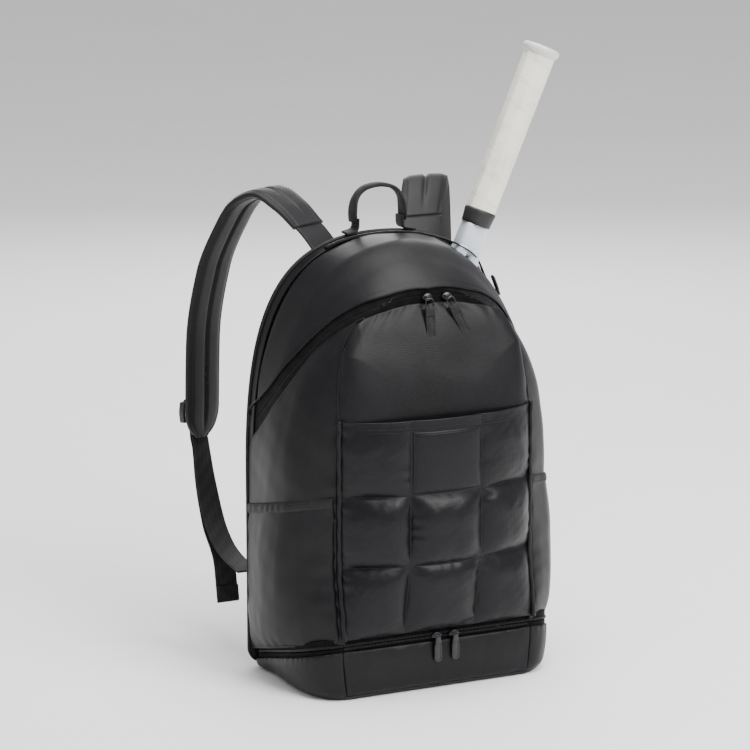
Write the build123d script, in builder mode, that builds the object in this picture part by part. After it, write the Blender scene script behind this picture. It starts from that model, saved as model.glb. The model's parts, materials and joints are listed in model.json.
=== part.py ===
"""Racket backpack: padded bag with a front lid, shoe compartment, straps and a racket in its sleeve.

Millimetres, +Z up, front of the bag towards -Y, origin on the floor under the middle of the bag.
"""

import os
from math import asin, atan, cos, degrees, radians, sin

from build123d import *

os.makedirs("parts", exist_ok=True)

# ---- driving dimensions ----
HALF_WIDTH = 158.0  # widest rib of the bag
HEIGHT = 480.0  # top of the hood
BACK_Y = 80.0  # outer face of the back panel
FRONT_Y = -64.0  # front seam of the main compartment
BASE_FRONT_Y = -73.0  # front of the shoe compartment
BASE_HALF = 154.0  # half-width of the shoe compartment
SPRING_Z = 230.0  # height where the sides start to arch in
ARCH_PULL = 0.73  # how square the shoulders are at the back; they are rounder towards the front
WALL = 4.0  # padded fabric wall
POCKET_DEPTH = 6.8  # how far the side wall stands in behind a side pocket
LINING = 2.2  # thin wall behind the side pockets
SEAM_X = 113.0  # front seams, left and right of the middle
HEM_Z = 308.0  # hem of the quilted pocket, and the fold line of the lid
LEAN_TOP = (-46.0, 436.0)  # y and z where the leaning front meets the hood
ZIP_BAND = 14.0  # width of the zip bands
TAPE_OUT, TAPE_IN = 1.5, 3.5  # zip tapes lie between these depths under the surface
PLAY = 0.6  # gap between the two halves of a zip
SHOE_ZIP_Z = 61.0  # middle of the shoe zip at the front
SHOE_ZIP_SLOPE = 0.296  # how fast it drops towards the back
REACH = 200.0  # larger than half the bag, for cutting solids

# depth, half-width, top height and shoulder pull of each rib of the bag, back to front
RIBS = [
    (BACK_Y, HALF_WIDTH, HEIGHT, ARCH_PULL),
    (25.0, HALF_WIDTH, HEIGHT - 1, 0.63),
    (-12.0, 154.0, 463.0, 0.57),
    (-37.0, 143.0, 446.0, 0.55),
    (-48.0, 132.0, 436.0, 0.55),
    (FRONT_Y, 111.0, 422.0, 0.55),
]

LEAN = atan((LEAN_TOP[0] - FRONT_Y) / (LEAN_TOP[1] - HEM_Z))  # how far the lid leans back, radians
LEAN_NORMAL = (0.0, -cos(LEAN), sin(LEAN))
SIDES = {"left": -1, "right": 1}


def save(part, name):
    """Label a finished piece and write its file."""
    part.label = name
    export_step(part, f"parts/{name}.step")


# ---- shared shapes ----
def arch_face(y, half_width, top, bottom, pull=ARCH_PULL):
    """Arch-shaped outline across the bag at depth y."""
    rise = pull * (top - SPRING_Z)
    spring, shoulder = (half_width, SPRING_Z), (half_width, SPRING_Z + rise)
    with BuildSketch(Plane.XZ.offset(-y)) as face:
        with BuildLine():
            Line((0, bottom), (half_width, bottom))
            Line((half_width, bottom), spring)
            Bezier(spring, shoulder, (pull * half_width, top), (0, top))
            mirror(about=Plane.YZ)
        make_face()
    return face.sketch


def side_prism(points, x_from=-REACH, x_to=REACH):
    """Solid between two X positions with the given outline in Y and Z."""
    with BuildPart() as prism:
        with BuildSketch(Plane.YZ.offset(x_from)):
            with BuildLine():
                Polyline(*points, close=True)
            make_face()
        extrude(amount=x_to - x_from)
    return prism.part


def bag_volume(inset):
    """The bag's outer shape above the shoe compartment, shrunk by inset on the front, top and sides."""
    front, ceiling = FRONT_Y + inset, HEIGHT + 20
    top_y = LEAN_TOP[0] + inset + (ceiling - LEAN_TOP[1]) * sin(LEAN) / cos(LEAN)
    profile = side_prism([(front, 0), (front, HEM_Z), (top_y, ceiling), (BACK_Y, ceiling), (BACK_Y, 0)])
    ribs = [arch_face(y, w - inset, top - inset, 0, pull) for y, w, top, pull in RIBS]
    with BuildPart() as volume:
        loft(ribs, ruled=True)
        add(profile, mode=Mode.INTERSECT)
    return volume.part


def bag_shell(outer, inner):
    """Wall between two insets of the bag's outer shape."""
    outside, inside = bag_volume(outer), bag_volume(inner)
    with BuildPart() as shell:
        add(outside)
        add(inside, mode=Mode.SUBTRACT)
    return shell.part


def base_plan(inset, z_from, z_to):
    """Plan of the shoe compartment, shrunk by inset and extruded between two heights."""
    front, seam, side, back = BASE_FRONT_Y + inset, SEAM_X, BASE_HALF - inset, BACK_Y - 2
    corner = 16.0
    with BuildPart() as plan:
        with BuildSketch(Plane.XY.offset(z_from)):
            with BuildLine():
                Line((0, front), (seam, front))
                Bezier((seam, front), (seam + 26, front + 2), (side, -45), (side, 0))
                Line((side, 0), (side, back - corner))
                RadiusArc((side, back - corner), (side - corner, back), -corner)
                Line((side - corner, back), (0, back))
                mirror(about=Plane.YZ)
            make_face()
        extrude(amount=z_to - z_from)
    return plan.part


def slanted_slab(low, high, y_from=-REACH, y_to=BACK_Y):
    """Layer between two heights above the middle of the shoe zip, parallel to that zip."""

    def height(y):
        return SHOE_ZIP_Z - SHOE_ZIP_SLOPE * (y - BASE_FRONT_Y)

    near, far = height(y_from), height(y_to)
    return side_prism([(y_from, near + low), (y_to, far + low), (y_to, far + high), (y_from, near + high)])


def lid_region(inset):
    """Everything in front of and below the main zip, shrunk by inset.

    It is an arch at the front and a slanted plane at the sides.
    """
    top, side_x, side_z, turn_y = 435.0 - inset, 152.0 - inset, 372.0 - inset, -30.0
    slope, side_top = 0.66, 375.0 - 1.2 * inset
    back_y = BACK_Y + 10
    with BuildPart() as region:
        with BuildSketch(Plane.XZ.offset(REACH / 2)):
            with BuildLine():
                Line((0, 0), (side_x, 0))
                Line((side_x, 0), (side_x, side_z))
                Bezier((side_x, side_z), (side_x - 6, side_z + 28), (70, top), (0, top))
                mirror(about=Plane.YZ)
            make_face()
        extrude(amount=-(REACH / 2 + turn_y))
    back_top = side_top - slope * (back_y - turn_y)
    slanted = side_prism(
        [(-REACH, 0), (-REACH, side_top), (turn_y, side_top), (back_y, back_top), (back_y, 0)]
    )
    with BuildPart() as whole:
        add(region.part)
        add(slanted)
    return whole.part


def keep_box(x, y, z):
    """Box given by its lowest and highest X, Y and Z."""
    with BuildPart() as box:
        with Locations(((x[0] + x[1]) / 2, (y[0] + y[1]) / 2, (z[0] + z[1]) / 2)):
            Box(x[1] - x[0], y[1] - y[0], z[1] - z[0])
    return box.part


def half_space(side):
    """Large box on the left (-1) or right (+1) of the bag, starting at its middle plane."""
    return keep_box((0, REACH) if side > 0 else (-REACH, 0), (-REACH, REACH), (0, 3 * REACH))


def intersected(first, *others):
    """Common volume of several solids."""
    with BuildPart() as common:
        add(first)
        for other in others:
            add(other, mode=Mode.INTERSECT)
    return common.part


def without(first, *others):
    """A solid with others cut away."""
    with BuildPart() as rest:
        add(first)
        for other in others:
            add(other, mode=Mode.SUBTRACT)
    return rest.part


INSIDE = POCKET_DEPTH + LINING  # depth of the clear inside under the outer surface
outer_shell = bag_shell(0, WALL)
tape_shell = bag_shell(TAPE_OUT, TAPE_IN)
above_shoe_zip = slanted_slab(ZIP_BAND / 2, 3 * REACH)
lid_edges = {inset: lid_region(inset) for inset in (0, ZIP_BAND / 2, ZIP_BAND / 2 + PLAY, ZIP_BAND)}

# ---- racket: placed on a sloping axis in the sleeve against the back ----
RACKET_Y = 58.0
BUTT = (188.5, 676.5)  # x and z of the middle of the butt
RACKET_DOWN = (-0.388, -0.922)  # direction from the butt to the tip
RACKET_LENGTH = 685.0
GRIP_LENGTH, COLLAR_LENGTH = 196.0, 14.0
HOOP_LONG, HOOP_WIDE, HOOP_BAND, FRAME_THICK = 336.0, 254.0, 12.0, 24.0
SHAFT_HALF = 15.0
SPLIT_AT = 246.0  # distance from the butt where the throat opens
SLEEVE_HALF = 30.0  # half-width of the racket's way out through the hood

# local x runs from the butt to the tip, local y across the strings, local z towards the front of the bag
racket_plane = Plane(
    origin=(BUTT[0], RACKET_Y, BUTT[1]),
    x_dir=(RACKET_DOWN[0], 0, RACKET_DOWN[1]),
    z_dir=(0, -1, 0),
)
hoop_centre = RACKET_LENGTH - HOOP_LONG / 2


def ellipse_prism(long_radius, wide_radius, thick):
    """Flat elliptic block round the middle of the strings."""
    with BuildPart() as block:
        with BuildSketch(racket_plane):
            with Locations((hoop_centre, 0)):
                Ellipse(long_radius, wide_radius)
        extrude(amount=thick / 2, both=True)
    return block.part


def across_axis(at, half_width, half_depth, corner):
    """Rounded cross-section of the handle, at a distance from the butt."""
    middle = racket_plane.from_local_coords((at, 0, 0))
    plane = Plane(origin=middle, x_dir=(0, 1, 0), z_dir=racket_plane.x_dir)
    with BuildSketch(plane) as section:
        RectangleRounded(2 * half_depth, 2 * half_width, corner)
    return section.sketch


with BuildPart() as racket_grip:
    loft([across_axis(10, 18.2, 15.5, 9), across_axis(GRIP_LENGTH, 16.8, 14.5, 8)])
save(racket_grip.part, "racket_grip")

with BuildPart() as racket_butt_cap:
    rings = [across_axis(0, 20.5, 17.5, 10), across_axis(4, 22.5, 19.5, 11), across_axis(10, 19.0, 16.2, 9)]
    loft(rings, ruled=True)
save(racket_butt_cap.part, "racket_butt_cap")

with BuildPart() as racket_collar:
    loft([across_axis(GRIP_LENGTH, 18.5, 16.0, 9), across_axis(GRIP_LENGTH + COLLAR_LENGTH, 15.5, 13.0, 8)])
save(racket_collar.part, "racket_collar")

hoop_outer = ellipse_prism(HOOP_LONG / 2, HOOP_WIDE / 2, FRAME_THICK)
hoop_space = (HOOP_LONG / 2 - HOOP_BAND, HOOP_WIDE / 2 - HOOP_BAND)
hoop_inner = ellipse_prism(*hoop_space, FRAME_THICK + 2)
SHAFT_FROM = GRIP_LENGTH + COLLAR_LENGTH
ARM_WIDTH = 15.0
ARM_END = (405.0, 98.0)  # where an arm meets the hoop, along and across
with BuildPart() as throat:
    with BuildSketch(racket_plane.offset(-FRAME_THICK / 2)):
        with BuildLine():
            Line((SHAFT_FROM, 0), (SHAFT_FROM, SHAFT_HALF))
            Line((SHAFT_FROM, SHAFT_HALF), (SPLIT_AT - 8, SHAFT_HALF))
            Bezier((SPLIT_AT - 8, SHAFT_HALF), (SPLIT_AT + 45, 24), (355, 60), ARM_END)
            Line(ARM_END, (ARM_END[0] + 4, ARM_END[1] - ARM_WIDTH))
            Bezier((ARM_END[0] + 4, ARM_END[1] - ARM_WIDTH), (345, 30), (SPLIT_AT + 45, 10), (SPLIT_AT, 0))
            Line((SPLIT_AT, 0), (SHAFT_FROM, 0))
        make_face()
        mirror(about=racket_plane.rotated((90, 0, 0)))
    extrude(amount=FRAME_THICK)
with BuildPart() as racket_frame:
    add(hoop_outer)
    add(throat.part)
    add(hoop_inner, mode=Mode.SUBTRACT)
save(racket_frame.part, "racket_frame")

STRING_BED = 1.4
save(ellipse_prism(*hoop_space, STRING_BED), "racket_strings")

# ---- back of the bag ----
with BuildPart() as back_panel:
    extrude(arch_face(BACK_Y - WALL, HALF_WIDTH, HEIGHT, WALL), amount=-WALL)
    fillet(back_panel.edges().filter_by(Axis.Y).group_by(Axis.Z)[0], 16)
save(back_panel.part, "back_panel")

BOARD = 2.0
with BuildPart() as back_board:
    extrude(arch_face(BACK_Y - WALL - BOARD, HALF_WIDTH - INSIDE - 1, HEIGHT - 7, 36), amount=-BOARD)
save(back_board.part, "back_board")

PIPE = 3.0
with BuildPart() as back_piping:
    extrude(arch_face(BACK_Y - PIPE, HALF_WIDTH + PIPE, HEIGHT + PIPE, 26), amount=-2 * PIPE)
    extrude(arch_face(BACK_Y - PIPE, HALF_WIDTH, HEIGHT, 20), amount=-2 * PIPE, mode=Mode.SUBTRACT)
save(back_piping.part, "back_piping")

PAD_THICK = 9.0
with BuildPart() as back_pads:
    with BuildSketch(Plane.XZ.offset(-BACK_Y)):
        with Locations((-68, 245), (68, 245)):
            RectangleRounded(104, 350, 24)
    extrude(amount=-PAD_THICK)
    fillet(back_pads.faces().sort_by(Axis.Y)[-1].edges(), 5)
save(back_pads.part, "back_pads")

# ---- hood, side walls and dividers ----
with BuildPart() as sleeve_way:
    with BuildSketch(racket_plane.offset(-FRAME_THICK / 2 - 2)):
        with Locations((SPLIT_AT, 0)):
            Rectangle(110, 2 * SLEEVE_HALF)
    extrude(amount=FRAME_THICK + 4)

HOOD_LOW = 262.0  # lowest point of the hood, where the main zip ends at the back
above_lid = keep_box((-REACH, REACH), (-REACH, BACK_Y - WALL), (HOOD_LOW, 3 * REACH))
hood = without(intersected(outer_shell, above_lid), lid_edges[0], sleeve_way.part)
save(hood, "hood")

with BuildPart() as racket_divider:
    extrude(arch_face(41, HALF_WIDTH - INSIDE - 1, HEIGHT - WALL - 2, 20, 0.62), amount=-2)
    add(slanted_slab(ZIP_BAND / 2 + 0.5, 3 * REACH), mode=Mode.INTERSECT)
save(racket_divider.part, "racket_divider")

POCKET_HEM = 12.0
HEM_FRONT_Z, HEM_BACK_Z = 225.0, 189.0
LEDGE_RISE = 16.0


def beside_pocket(low, high):
    """Layer parallel to the side pockets' hems, between two heights above the hem line."""
    return side_prism(
        [
            (FRONT_Y, HEM_FRONT_Z + low),
            (BACK_Y, HEM_BACK_Z + low),
            (BACK_Y, HEM_BACK_Z + high),
            (FRONT_Y, HEM_FRONT_Z + high),
        ]
    )


inner_wall = intersected(bag_shell(POCKET_DEPTH, INSIDE), beside_pocket(-REACH, LEDGE_RISE))
ledge = intersected(bag_shell(0, INSIDE), beside_pocket(LEDGE_RISE, LEDGE_RISE + 3))
upper_wall = intersected(outer_shell, beside_pocket(LEDGE_RISE + 3, REACH))
pocket_wall = intersected(bag_shell(0, 2.5), beside_pocket(-REACH, -POCKET_HEM))
hem_wall = intersected(bag_shell(-1.0, 2.5), beside_pocket(-POCKET_HEM, 0))
below_lid = keep_box((-REACH, REACH), (FRONT_Y + WALL, BACK_Y - WALL), (0, HEM_Z))
middle = keep_box((-SEAM_X + 16, SEAM_X - 16), (-REACH, REACH), (0, 3 * REACH))
behind_corner = keep_box((-REACH, REACH), (FRONT_Y + 2, BACK_Y - WALL), (0, HEM_Z))

for name, side in SIDES.items():
    half = half_space(side)
    with BuildPart() as side_panel:
        add(inner_wall)
        add(ledge)
        add(upper_wall)
        for limit in (half, below_lid, above_shoe_zip, lid_edges[ZIP_BAND]):
            add(limit, mode=Mode.INTERSECT)
        add(middle, mode=Mode.SUBTRACT)
    save(side_panel.part, f"side_panel_{name}")
    save(intersected(pocket_wall, half, below_lid, above_shoe_zip), f"side_pocket_{name}")

with BuildPart() as side_pocket_hems:
    add(hem_wall)
    add(behind_corner, mode=Mode.INTERSECT)
    add(keep_box((-SEAM_X, SEAM_X), (-REACH, REACH), (0, 3 * REACH)), mode=Mode.SUBTRACT)
save(side_pocket_hems.part, "side_pocket_hems")

# ---- front wall, quilted pocket and its trims ----
FRONT_BOTTOM = SHOE_ZIP_Z + ZIP_BAND / 2 + 1
with BuildPart() as front_panel:
    add(keep_box((-SEAM_X + 5, SEAM_X - 5), (FRONT_Y, FRONT_Y + WALL), (FRONT_BOTTOM, HEM_Z)))
save(front_panel.part, "front_panel")

POCKET_WALL = 6.0
QUILT_LOW_Z = 147.0  # lowest quilt seam, where the pocket reaches its full bulge
BULGE = 32.0
POCKET_SECTIONS = [(FRONT_BOTTOM, 12.0), (QUILT_LOW_Z, BULGE), (HEM_Z - POCKET_HEM, BULGE)]


def crescent(z, bulge, half_width):
    """Plan of the pocket at one height: flat against the front wall, bulging forward."""
    with BuildSketch(Plane.XY.offset(z)) as face:
        with BuildLine():
            Line((-half_width, FRONT_Y), (half_width, FRONT_Y))
            ThreePointArc((half_width, FRONT_Y), (0, FRONT_Y - bulge), (-half_width, FRONT_Y))
        make_face()
    return face.sketch


def pocket_band(sections, half_outer, half_inner, wall):
    """Curved wall of the pocket between its lowest and highest section."""
    with BuildPart() as band:
        loft([crescent(z, bulge, half_outer) for z, bulge in sections], ruled=True)
        inside = [crescent(z, bulge - wall, half_inner) for z, bulge in sections]
        loft(inside, ruled=True, mode=Mode.SUBTRACT)
    return band.part


save(pocket_band(POCKET_SECTIONS, SEAM_X, SEAM_X - POCKET_WALL, POCKET_WALL), "quilted_pocket")
hem_sections = [(HEM_Z - POCKET_HEM, BULGE + 0.5), (HEM_Z, BULGE)]
save(pocket_band(hem_sections, SEAM_X, SEAM_X - POCKET_WALL + 1, POCKET_WALL - 1), "pocket_hem")

PATCH_HALF, PATCH_LOW, PATCH_HIGH = 40.0, 228.0, 294.0
PATCH_THICK = 1.5
with BuildPart() as pocket_patch:
    extrude(crescent(PATCH_LOW, BULGE + 0.1 + PATCH_THICK, SEAM_X + 3), amount=PATCH_HIGH - PATCH_LOW)
    extrude(crescent(PATCH_LOW, BULGE + 0.1, SEAM_X), amount=PATCH_HIGH - PATCH_LOW, mode=Mode.SUBTRACT)
    patch_box = keep_box((-PATCH_HALF, PATCH_HALF), (-REACH, FRONT_Y - 10), (PATCH_LOW, PATCH_HIGH))
    add(patch_box, mode=Mode.INTERSECT)
save(pocket_patch.part, "pocket_patch")

PIPE_X, PIPE_RADIUS = 115.8, 2.2
with BuildPart() as front_piping:
    for side in SIDES.values():
        with BuildLine() as seam:
            Polyline(
                (side * PIPE_X, BASE_FRONT_Y - 2.5, 68),
                (side * PIPE_X, BASE_FRONT_Y + 2, 110),
                (side * PIPE_X, FRONT_Y - 3, 150),
                (side * PIPE_X, FRONT_Y - 3, HEM_Z - 1),
            )
        with BuildSketch(Plane.XY.offset(68)):
            with Locations((side * PIPE_X, BASE_FRONT_Y - 2.5)):
                Circle(PIPE_RADIUS)
        sweep(path=seam.wires()[0], transition=Transition.RIGHT)
save(front_piping.part, "front_piping")

# ---- shoe compartment ----
base_inside = base_plan(WALL, 0, 3 * REACH)
base_walls = without(base_plan(0, WALL, 3 * REACH), base_inside)
base_tapes = without(base_plan(TAPE_OUT, 0, 3 * REACH), base_plan(TAPE_IN, 0, 3 * REACH))
ahead_of_back = keep_box((-REACH, REACH), (-REACH, BACK_Y - WALL), (0, 3 * REACH))
flap_part = keep_box((-SEAM_X + 0.5, SEAM_X - 0.5), (-REACH, BASE_FRONT_Y + WALL + 1), (0, 3 * REACH))
below_shoe_zip = slanted_slab(-REACH, -ZIP_BAND / 2)

save(base_plan(0, 0, WALL), "base_panel")
for name, side in SIDES.items():
    beyond_seam = keep_box(
        (SEAM_X, REACH) if side > 0 else (-REACH, -SEAM_X), (-REACH, BACK_Y - WALL), (WALL, 3 * REACH)
    )
    save(intersected(base_walls, below_shoe_zip, beyond_seam), f"base_side_{name}")

FLAP_GAP = 0.5
with BuildPart() as shoe_flap:
    add(base_walls)
    add(flap_part, mode=Mode.INTERSECT)
    between = (WALL + FLAP_GAP, SHOE_ZIP_Z - ZIP_BAND / 2)
    add(keep_box((-REACH, REACH), (-REACH, REACH), between), mode=Mode.INTERSECT)
save(shoe_flap.part, "shoe_flap")

lower_band = slanted_slab(-ZIP_BAND / 2 + 0.1, -PLAY / 2)
upper_band = slanted_slab(PLAY / 2, ZIP_BAND / 2)
front_lower_band = keep_box(
    (-REACH, REACH), (-REACH, REACH), (SHOE_ZIP_Z - ZIP_BAND / 2, SHOE_ZIP_Z - 3 * PLAY)
)
save(intersected(base_tapes, front_lower_band, flap_part), "flap_zip_tape")
save(intersected(base_tapes, upper_band, ahead_of_back), "shoe_zip_tape")
with BuildPart() as shoe_zip_side_tapes:
    add(base_tapes)
    add(lower_band, mode=Mode.INTERSECT)
    add(ahead_of_back, mode=Mode.INTERSECT)
    add(keep_box((-SEAM_X, SEAM_X), (-REACH, REACH), (0, 3 * REACH)), mode=Mode.SUBTRACT)
save(shoe_zip_side_tapes.part, "shoe_zip_side_tapes")

save(intersected(base_inside, slanted_slab(2, 5), ahead_of_back), "shoe_floor")

# ---- lid: leaning front panel with its piping, zip tape and the soft gussets at its sides ----
lean_plane = Plane(origin=(0, FRONT_Y, HEM_Z), x_dir=(1, 0, 0), z_dir=LEAN_NORMAL)
LID_LOW, LID_SHOULDER, LID_TOP = 4.0, 22.0, 113.0  # heights up the leaning plane
LID_PROUD, LID_DEEP = 5.0, 3.0


def lid_outline(grow, low):
    """Lid panel outline on the leaning plane, grown outwards."""
    half = SEAM_X + grow
    shoulder, top = LID_SHOULDER, LID_TOP + grow
    with BuildSketch(lean_plane) as outline:
        with BuildLine():
            Line((0, low), (half, low))
            Line((half, low), (half, shoulder))
            Bezier((half, shoulder), (half, shoulder + 50), (60 + grow, top), (0, top))
            mirror(about=Plane.YZ)
        make_face()
    return outline.sketch


with BuildPart() as lid_panel:
    extrude(lid_outline(0, LID_LOW), amount=LID_PROUD)
    extrude(lid_outline(-2, LID_LOW), amount=-LID_DEEP)
save(lid_panel.part, "lid_panel")

with BuildPart() as lid_piping:
    extrude(lid_outline(3.7, LID_LOW), amount=3.5)
    extrude(lid_outline(0.2, 0), amount=3.5, mode=Mode.SUBTRACT)
save(lid_piping.part, "lid_piping")

upper_tape_band = without(tape_shell, lid_edges[ZIP_BAND / 2])
lower_tape_band = without(intersected(tape_shell, lid_edges[ZIP_BAND / 2 + PLAY]), lid_edges[ZIP_BAND])
inside_hood_edge = intersected(upper_tape_band, lid_edges[0], above_lid)
save(inside_hood_edge, "main_zip_tape")
above_fold = keep_box((-REACH, REACH), (-REACH, BACK_Y - WALL), (HEM_Z + 1, 3 * REACH))
middle_run = keep_box((-SEAM_X + 1, SEAM_X - 1), (-REACH, 0), (HEM_Z, 3 * REACH))
save(intersected(lower_tape_band, middle_run), "lid_zip_tape")
with BuildPart() as lid_side_tapes:
    add(lower_tape_band)
    add(above_lid, mode=Mode.INTERSECT)
    add(middle_run, mode=Mode.SUBTRACT)
save(lid_side_tapes.part, "lid_side_tapes")

with BuildPart() as lid_hole:
    extrude(lid_outline(0, -20), amount=8, both=True)
lid_skin = without(intersected(outer_shell, lid_edges[ZIP_BAND], above_fold), lid_hole.part)
for name, side in SIDES.items():
    outside_panel = keep_box((60, REACH) if side > 0 else (-REACH, -60), (-REACH, REACH), (0, 3 * REACH))
    save(intersected(lid_skin, outside_panel), f"lid_gusset_{name}")

# ---- zip sliders and pulls ----
SLIDER_LONG, SLIDER_WIDE, SLIDER_THICK = 12.0, 8.5, 4.5
SLIDER_OFF = 0.4  # clearance to the surface it runs on


def slider(plane, name):
    """Zip slider lying on a plane, its long side along the plane's x."""
    with BuildPart() as body:
        with BuildSketch(plane.offset(SLIDER_OFF)):
            RectangleRounded(SLIDER_LONG, SLIDER_WIDE, 2.5)
        extrude(amount=SLIDER_THICK - 1.5)
        with BuildSketch(plane.offset(SLIDER_OFF + SLIDER_THICK - 1.5)):
            RectangleRounded(SLIDER_LONG - 5, 3, 1)
        extrude(amount=1.5)
    save(body.part, name)


def hanging(plane, name, long, wide, thick, lift, start):
    """Flat tongue with a rounded end, hanging down the plane's -y, lift above the plane."""
    half = wide / 2
    shoulder = half - start - long
    with BuildPart() as body:
        with BuildSketch(plane.offset(lift)):
            with BuildLine():
                Line((-half, -start), (half, -start))
                Line((half, -start), (half, shoulder))
                RadiusArc((half, shoulder), (-half, shoulder), half)
                Line((-half, shoulder), (-half, -start))
            make_face()
        extrude(amount=thick)
    save(body.part, name)


def bail(plane, name, wide, long, lift):
    """Wire loop that hangs from the slider's bridge."""
    with BuildPart() as body:
        with BuildSketch(plane.offset(lift)):
            with Locations((0, -long / 2 - 0.5)):
                RectangleRounded(wide, long, 2.5)
                RectangleRounded(wide - 3, long - 3, 1.2, mode=Mode.SUBTRACT)
        extrude(amount=1.5)
    save(body.part, name)


TRACK_RADIUS = 316.0  # the top of the main zip is nearly an arc
SLIDER_UP = 122.5  # middle of the zip, up the leaning plane
PULL_LIFT = LID_PROUD + 1.2
for name, across, swing in (("left", -3.0, 0.0), ("right", 20.0, 25.0)):
    turn = degrees(asin(across / TRACK_RADIUS))
    drop = TRACK_RADIUS * (1 - cos(radians(turn)))
    at = lean_plane.from_local_coords((across, SLIDER_UP - drop, 0))
    tangent = Vector(1, 0, 0).rotate(Axis((0, 0, 0), LEAN_NORMAL), -turn)
    track_plane = Plane(origin=at, x_dir=tangent, z_dir=LEAN_NORMAL)
    slider(track_plane, f"main_slider_{name}")
    pull_x = Vector(1, 0, 0).rotate(Axis((0, 0, 0), LEAN_NORMAL), swing)
    pull_plane = Plane(origin=at, x_dir=pull_x, z_dir=LEAN_NORMAL)
    bail(pull_plane, f"main_bail_{name}", 9, 12, PULL_LIFT)
    hanging(pull_plane, f"main_pull_{name}", 36, 9, 2.4, PULL_LIFT - 0.4, 12.8)

shoe_plane = Plane(origin=(0, BASE_FRONT_Y, SHOE_ZIP_Z - PLAY / 2), x_dir=(1, 0, 0), z_dir=(0, -1, 0))
for name, across in (("left", -3.0), ("right", 18.0)):
    here = Plane(origin=shoe_plane.from_local_coords((across, 0, 0)), x_dir=(1, 0, 0), z_dir=(0, -1, 0))
    slider(here, f"shoe_slider_{name}")
    hanging(here, f"shoe_pull_{name}", 30, 9, 2.5, SLIDER_OFF + SLIDER_THICK + 0.4, -1)

# racket sleeve zip along the top of the hood, with its slider beyond the racket
SLEEVE_ZIP_Y = (64.0, 73.0)
SLEEVE_TAPE = 1.2
with BuildPart() as sleeve_zip_tape:
    wide = SLEEVE_ZIP_Y[0] - SLEEVE_ZIP_Y[1]
    extrude(arch_face(SLEEVE_ZIP_Y[0], HALF_WIDTH + SLEEVE_TAPE, HEIGHT + SLEEVE_TAPE, 20), amount=wide)
    extrude(arch_face(SLEEVE_ZIP_Y[0], HALF_WIDTH + 0.1, HEIGHT + 0.1, 10), amount=wide, mode=Mode.SUBTRACT)
    add(keep_box((-70, 150), (0, REACH), (380, 3 * REACH)), mode=Mode.INTERSECT)
    add(sleeve_way.part, mode=Mode.SUBTRACT)
save(sleeve_zip_tape.part, "sleeve_zip_tape")

rise = ARCH_PULL * (HEIGHT - SPRING_Z)
shoulder_curve = Bezier(
    (HALF_WIDTH, 0, SPRING_Z),
    (HALF_WIDTH, 0, SPRING_Z + rise),
    (ARCH_PULL * HALF_WIDTH, 0, HEIGHT),
    (0, 0, HEIGHT),
)
SLEEVE_SLIDER_AT = 0.497  # along the right half of the arch, from the side to the top
sleeve_y = sum(SLEEVE_ZIP_Y) / 2
on_curve = shoulder_curve @ SLEEVE_SLIDER_AT
along_curve = shoulder_curve % SLEEVE_SLIDER_AT
outwards = Vector(along_curve.Z, 0, -along_curve.X)
sleeve_plane = Plane(
    origin=Vector(on_curve.X, sleeve_y, on_curve.Z) + outwards * 1.3, x_dir=along_curve * -1, z_dir=outwards
)
slider(sleeve_plane, "sleeve_slider")
pull_plane = Plane(origin=sleeve_plane.origin, x_dir=(0, -1, 0), z_dir=outwards)
hanging(pull_plane, "sleeve_pull", 26, 8, 2.2, SLIDER_OFF + SLIDER_THICK + 0.4, -1)

# ---- carry handle ----
HANDLE_HALF, HANDLE_AXIS_Z, HANDLE_TOP, HANDLE_Y = 28.5, 494.0, 533.0, 84.0
WEB = 3.0
HANDLE_WIDE = 20.0


def handle_arch(half, top):
    """Outline of the handle's loop, filled down to its pivots."""
    with BuildSketch(Plane.XZ.offset(-HANDLE_Y)) as arch:
        with BuildLine():
            Line((0, HANDLE_AXIS_Z), (half, HANDLE_AXIS_Z))
            Bezier((half, HANDLE_AXIS_Z), (half, top - 12), (half * 0.55, top), (0, top))
            mirror(about=Plane.YZ)
        make_face()
    return arch.sketch


with BuildPart() as carry_handle:
    extrude(handle_arch(HANDLE_HALF + WEB, HANDLE_TOP), amount=HANDLE_WIDE / 2, both=True)
    extrude(handle_arch(HANDLE_HALF, HANDLE_TOP - WEB), amount=HANDLE_WIDE, both=True, mode=Mode.SUBTRACT)
    for side in SIDES.values():
        with BuildSketch(Plane.YZ.offset(side * (HANDLE_HALF + WEB / 2) - WEB / 2)):
            with Locations((HANDLE_Y, HANDLE_AXIS_Z)):
                Circle(HANDLE_WIDE / 2 - 1)
        extrude(amount=WEB)
save(carry_handle.part, "carry_handle")

EYE_RADIUS = 9.0
TAB_FOOT = HEIGHT + PIPE + 0.1
with BuildPart() as handle_tabs:
    for side in SIDES.values():
        front, rear = HANDLE_Y - EYE_RADIUS, HANDLE_Y + EYE_RADIUS
        with BuildSketch(Plane.YZ.offset(side * (HANDLE_HALF - WEB / 2 - 1.2) - WEB / 2)):
            with BuildLine():
                Line((front, TAB_FOOT), (rear, TAB_FOOT))
                Line((rear, TAB_FOOT), (rear, HANDLE_AXIS_Z))
                RadiusArc((rear, HANDLE_AXIS_Z), (front, HANDLE_AXIS_Z), -EYE_RADIUS)
                Line((front, HANDLE_AXIS_Z), (front, TAB_FOOT))
            make_face()
        extrude(amount=WEB)
save(handle_tabs.part, "handle_tabs")

# ---- shoulder straps ----
STRAP_ROOT_X, STRAP_ROOT_Y = 50.0, 82.0
PAD_WIDTH, STRAP_PAD = 54.0, 12.0
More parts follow.
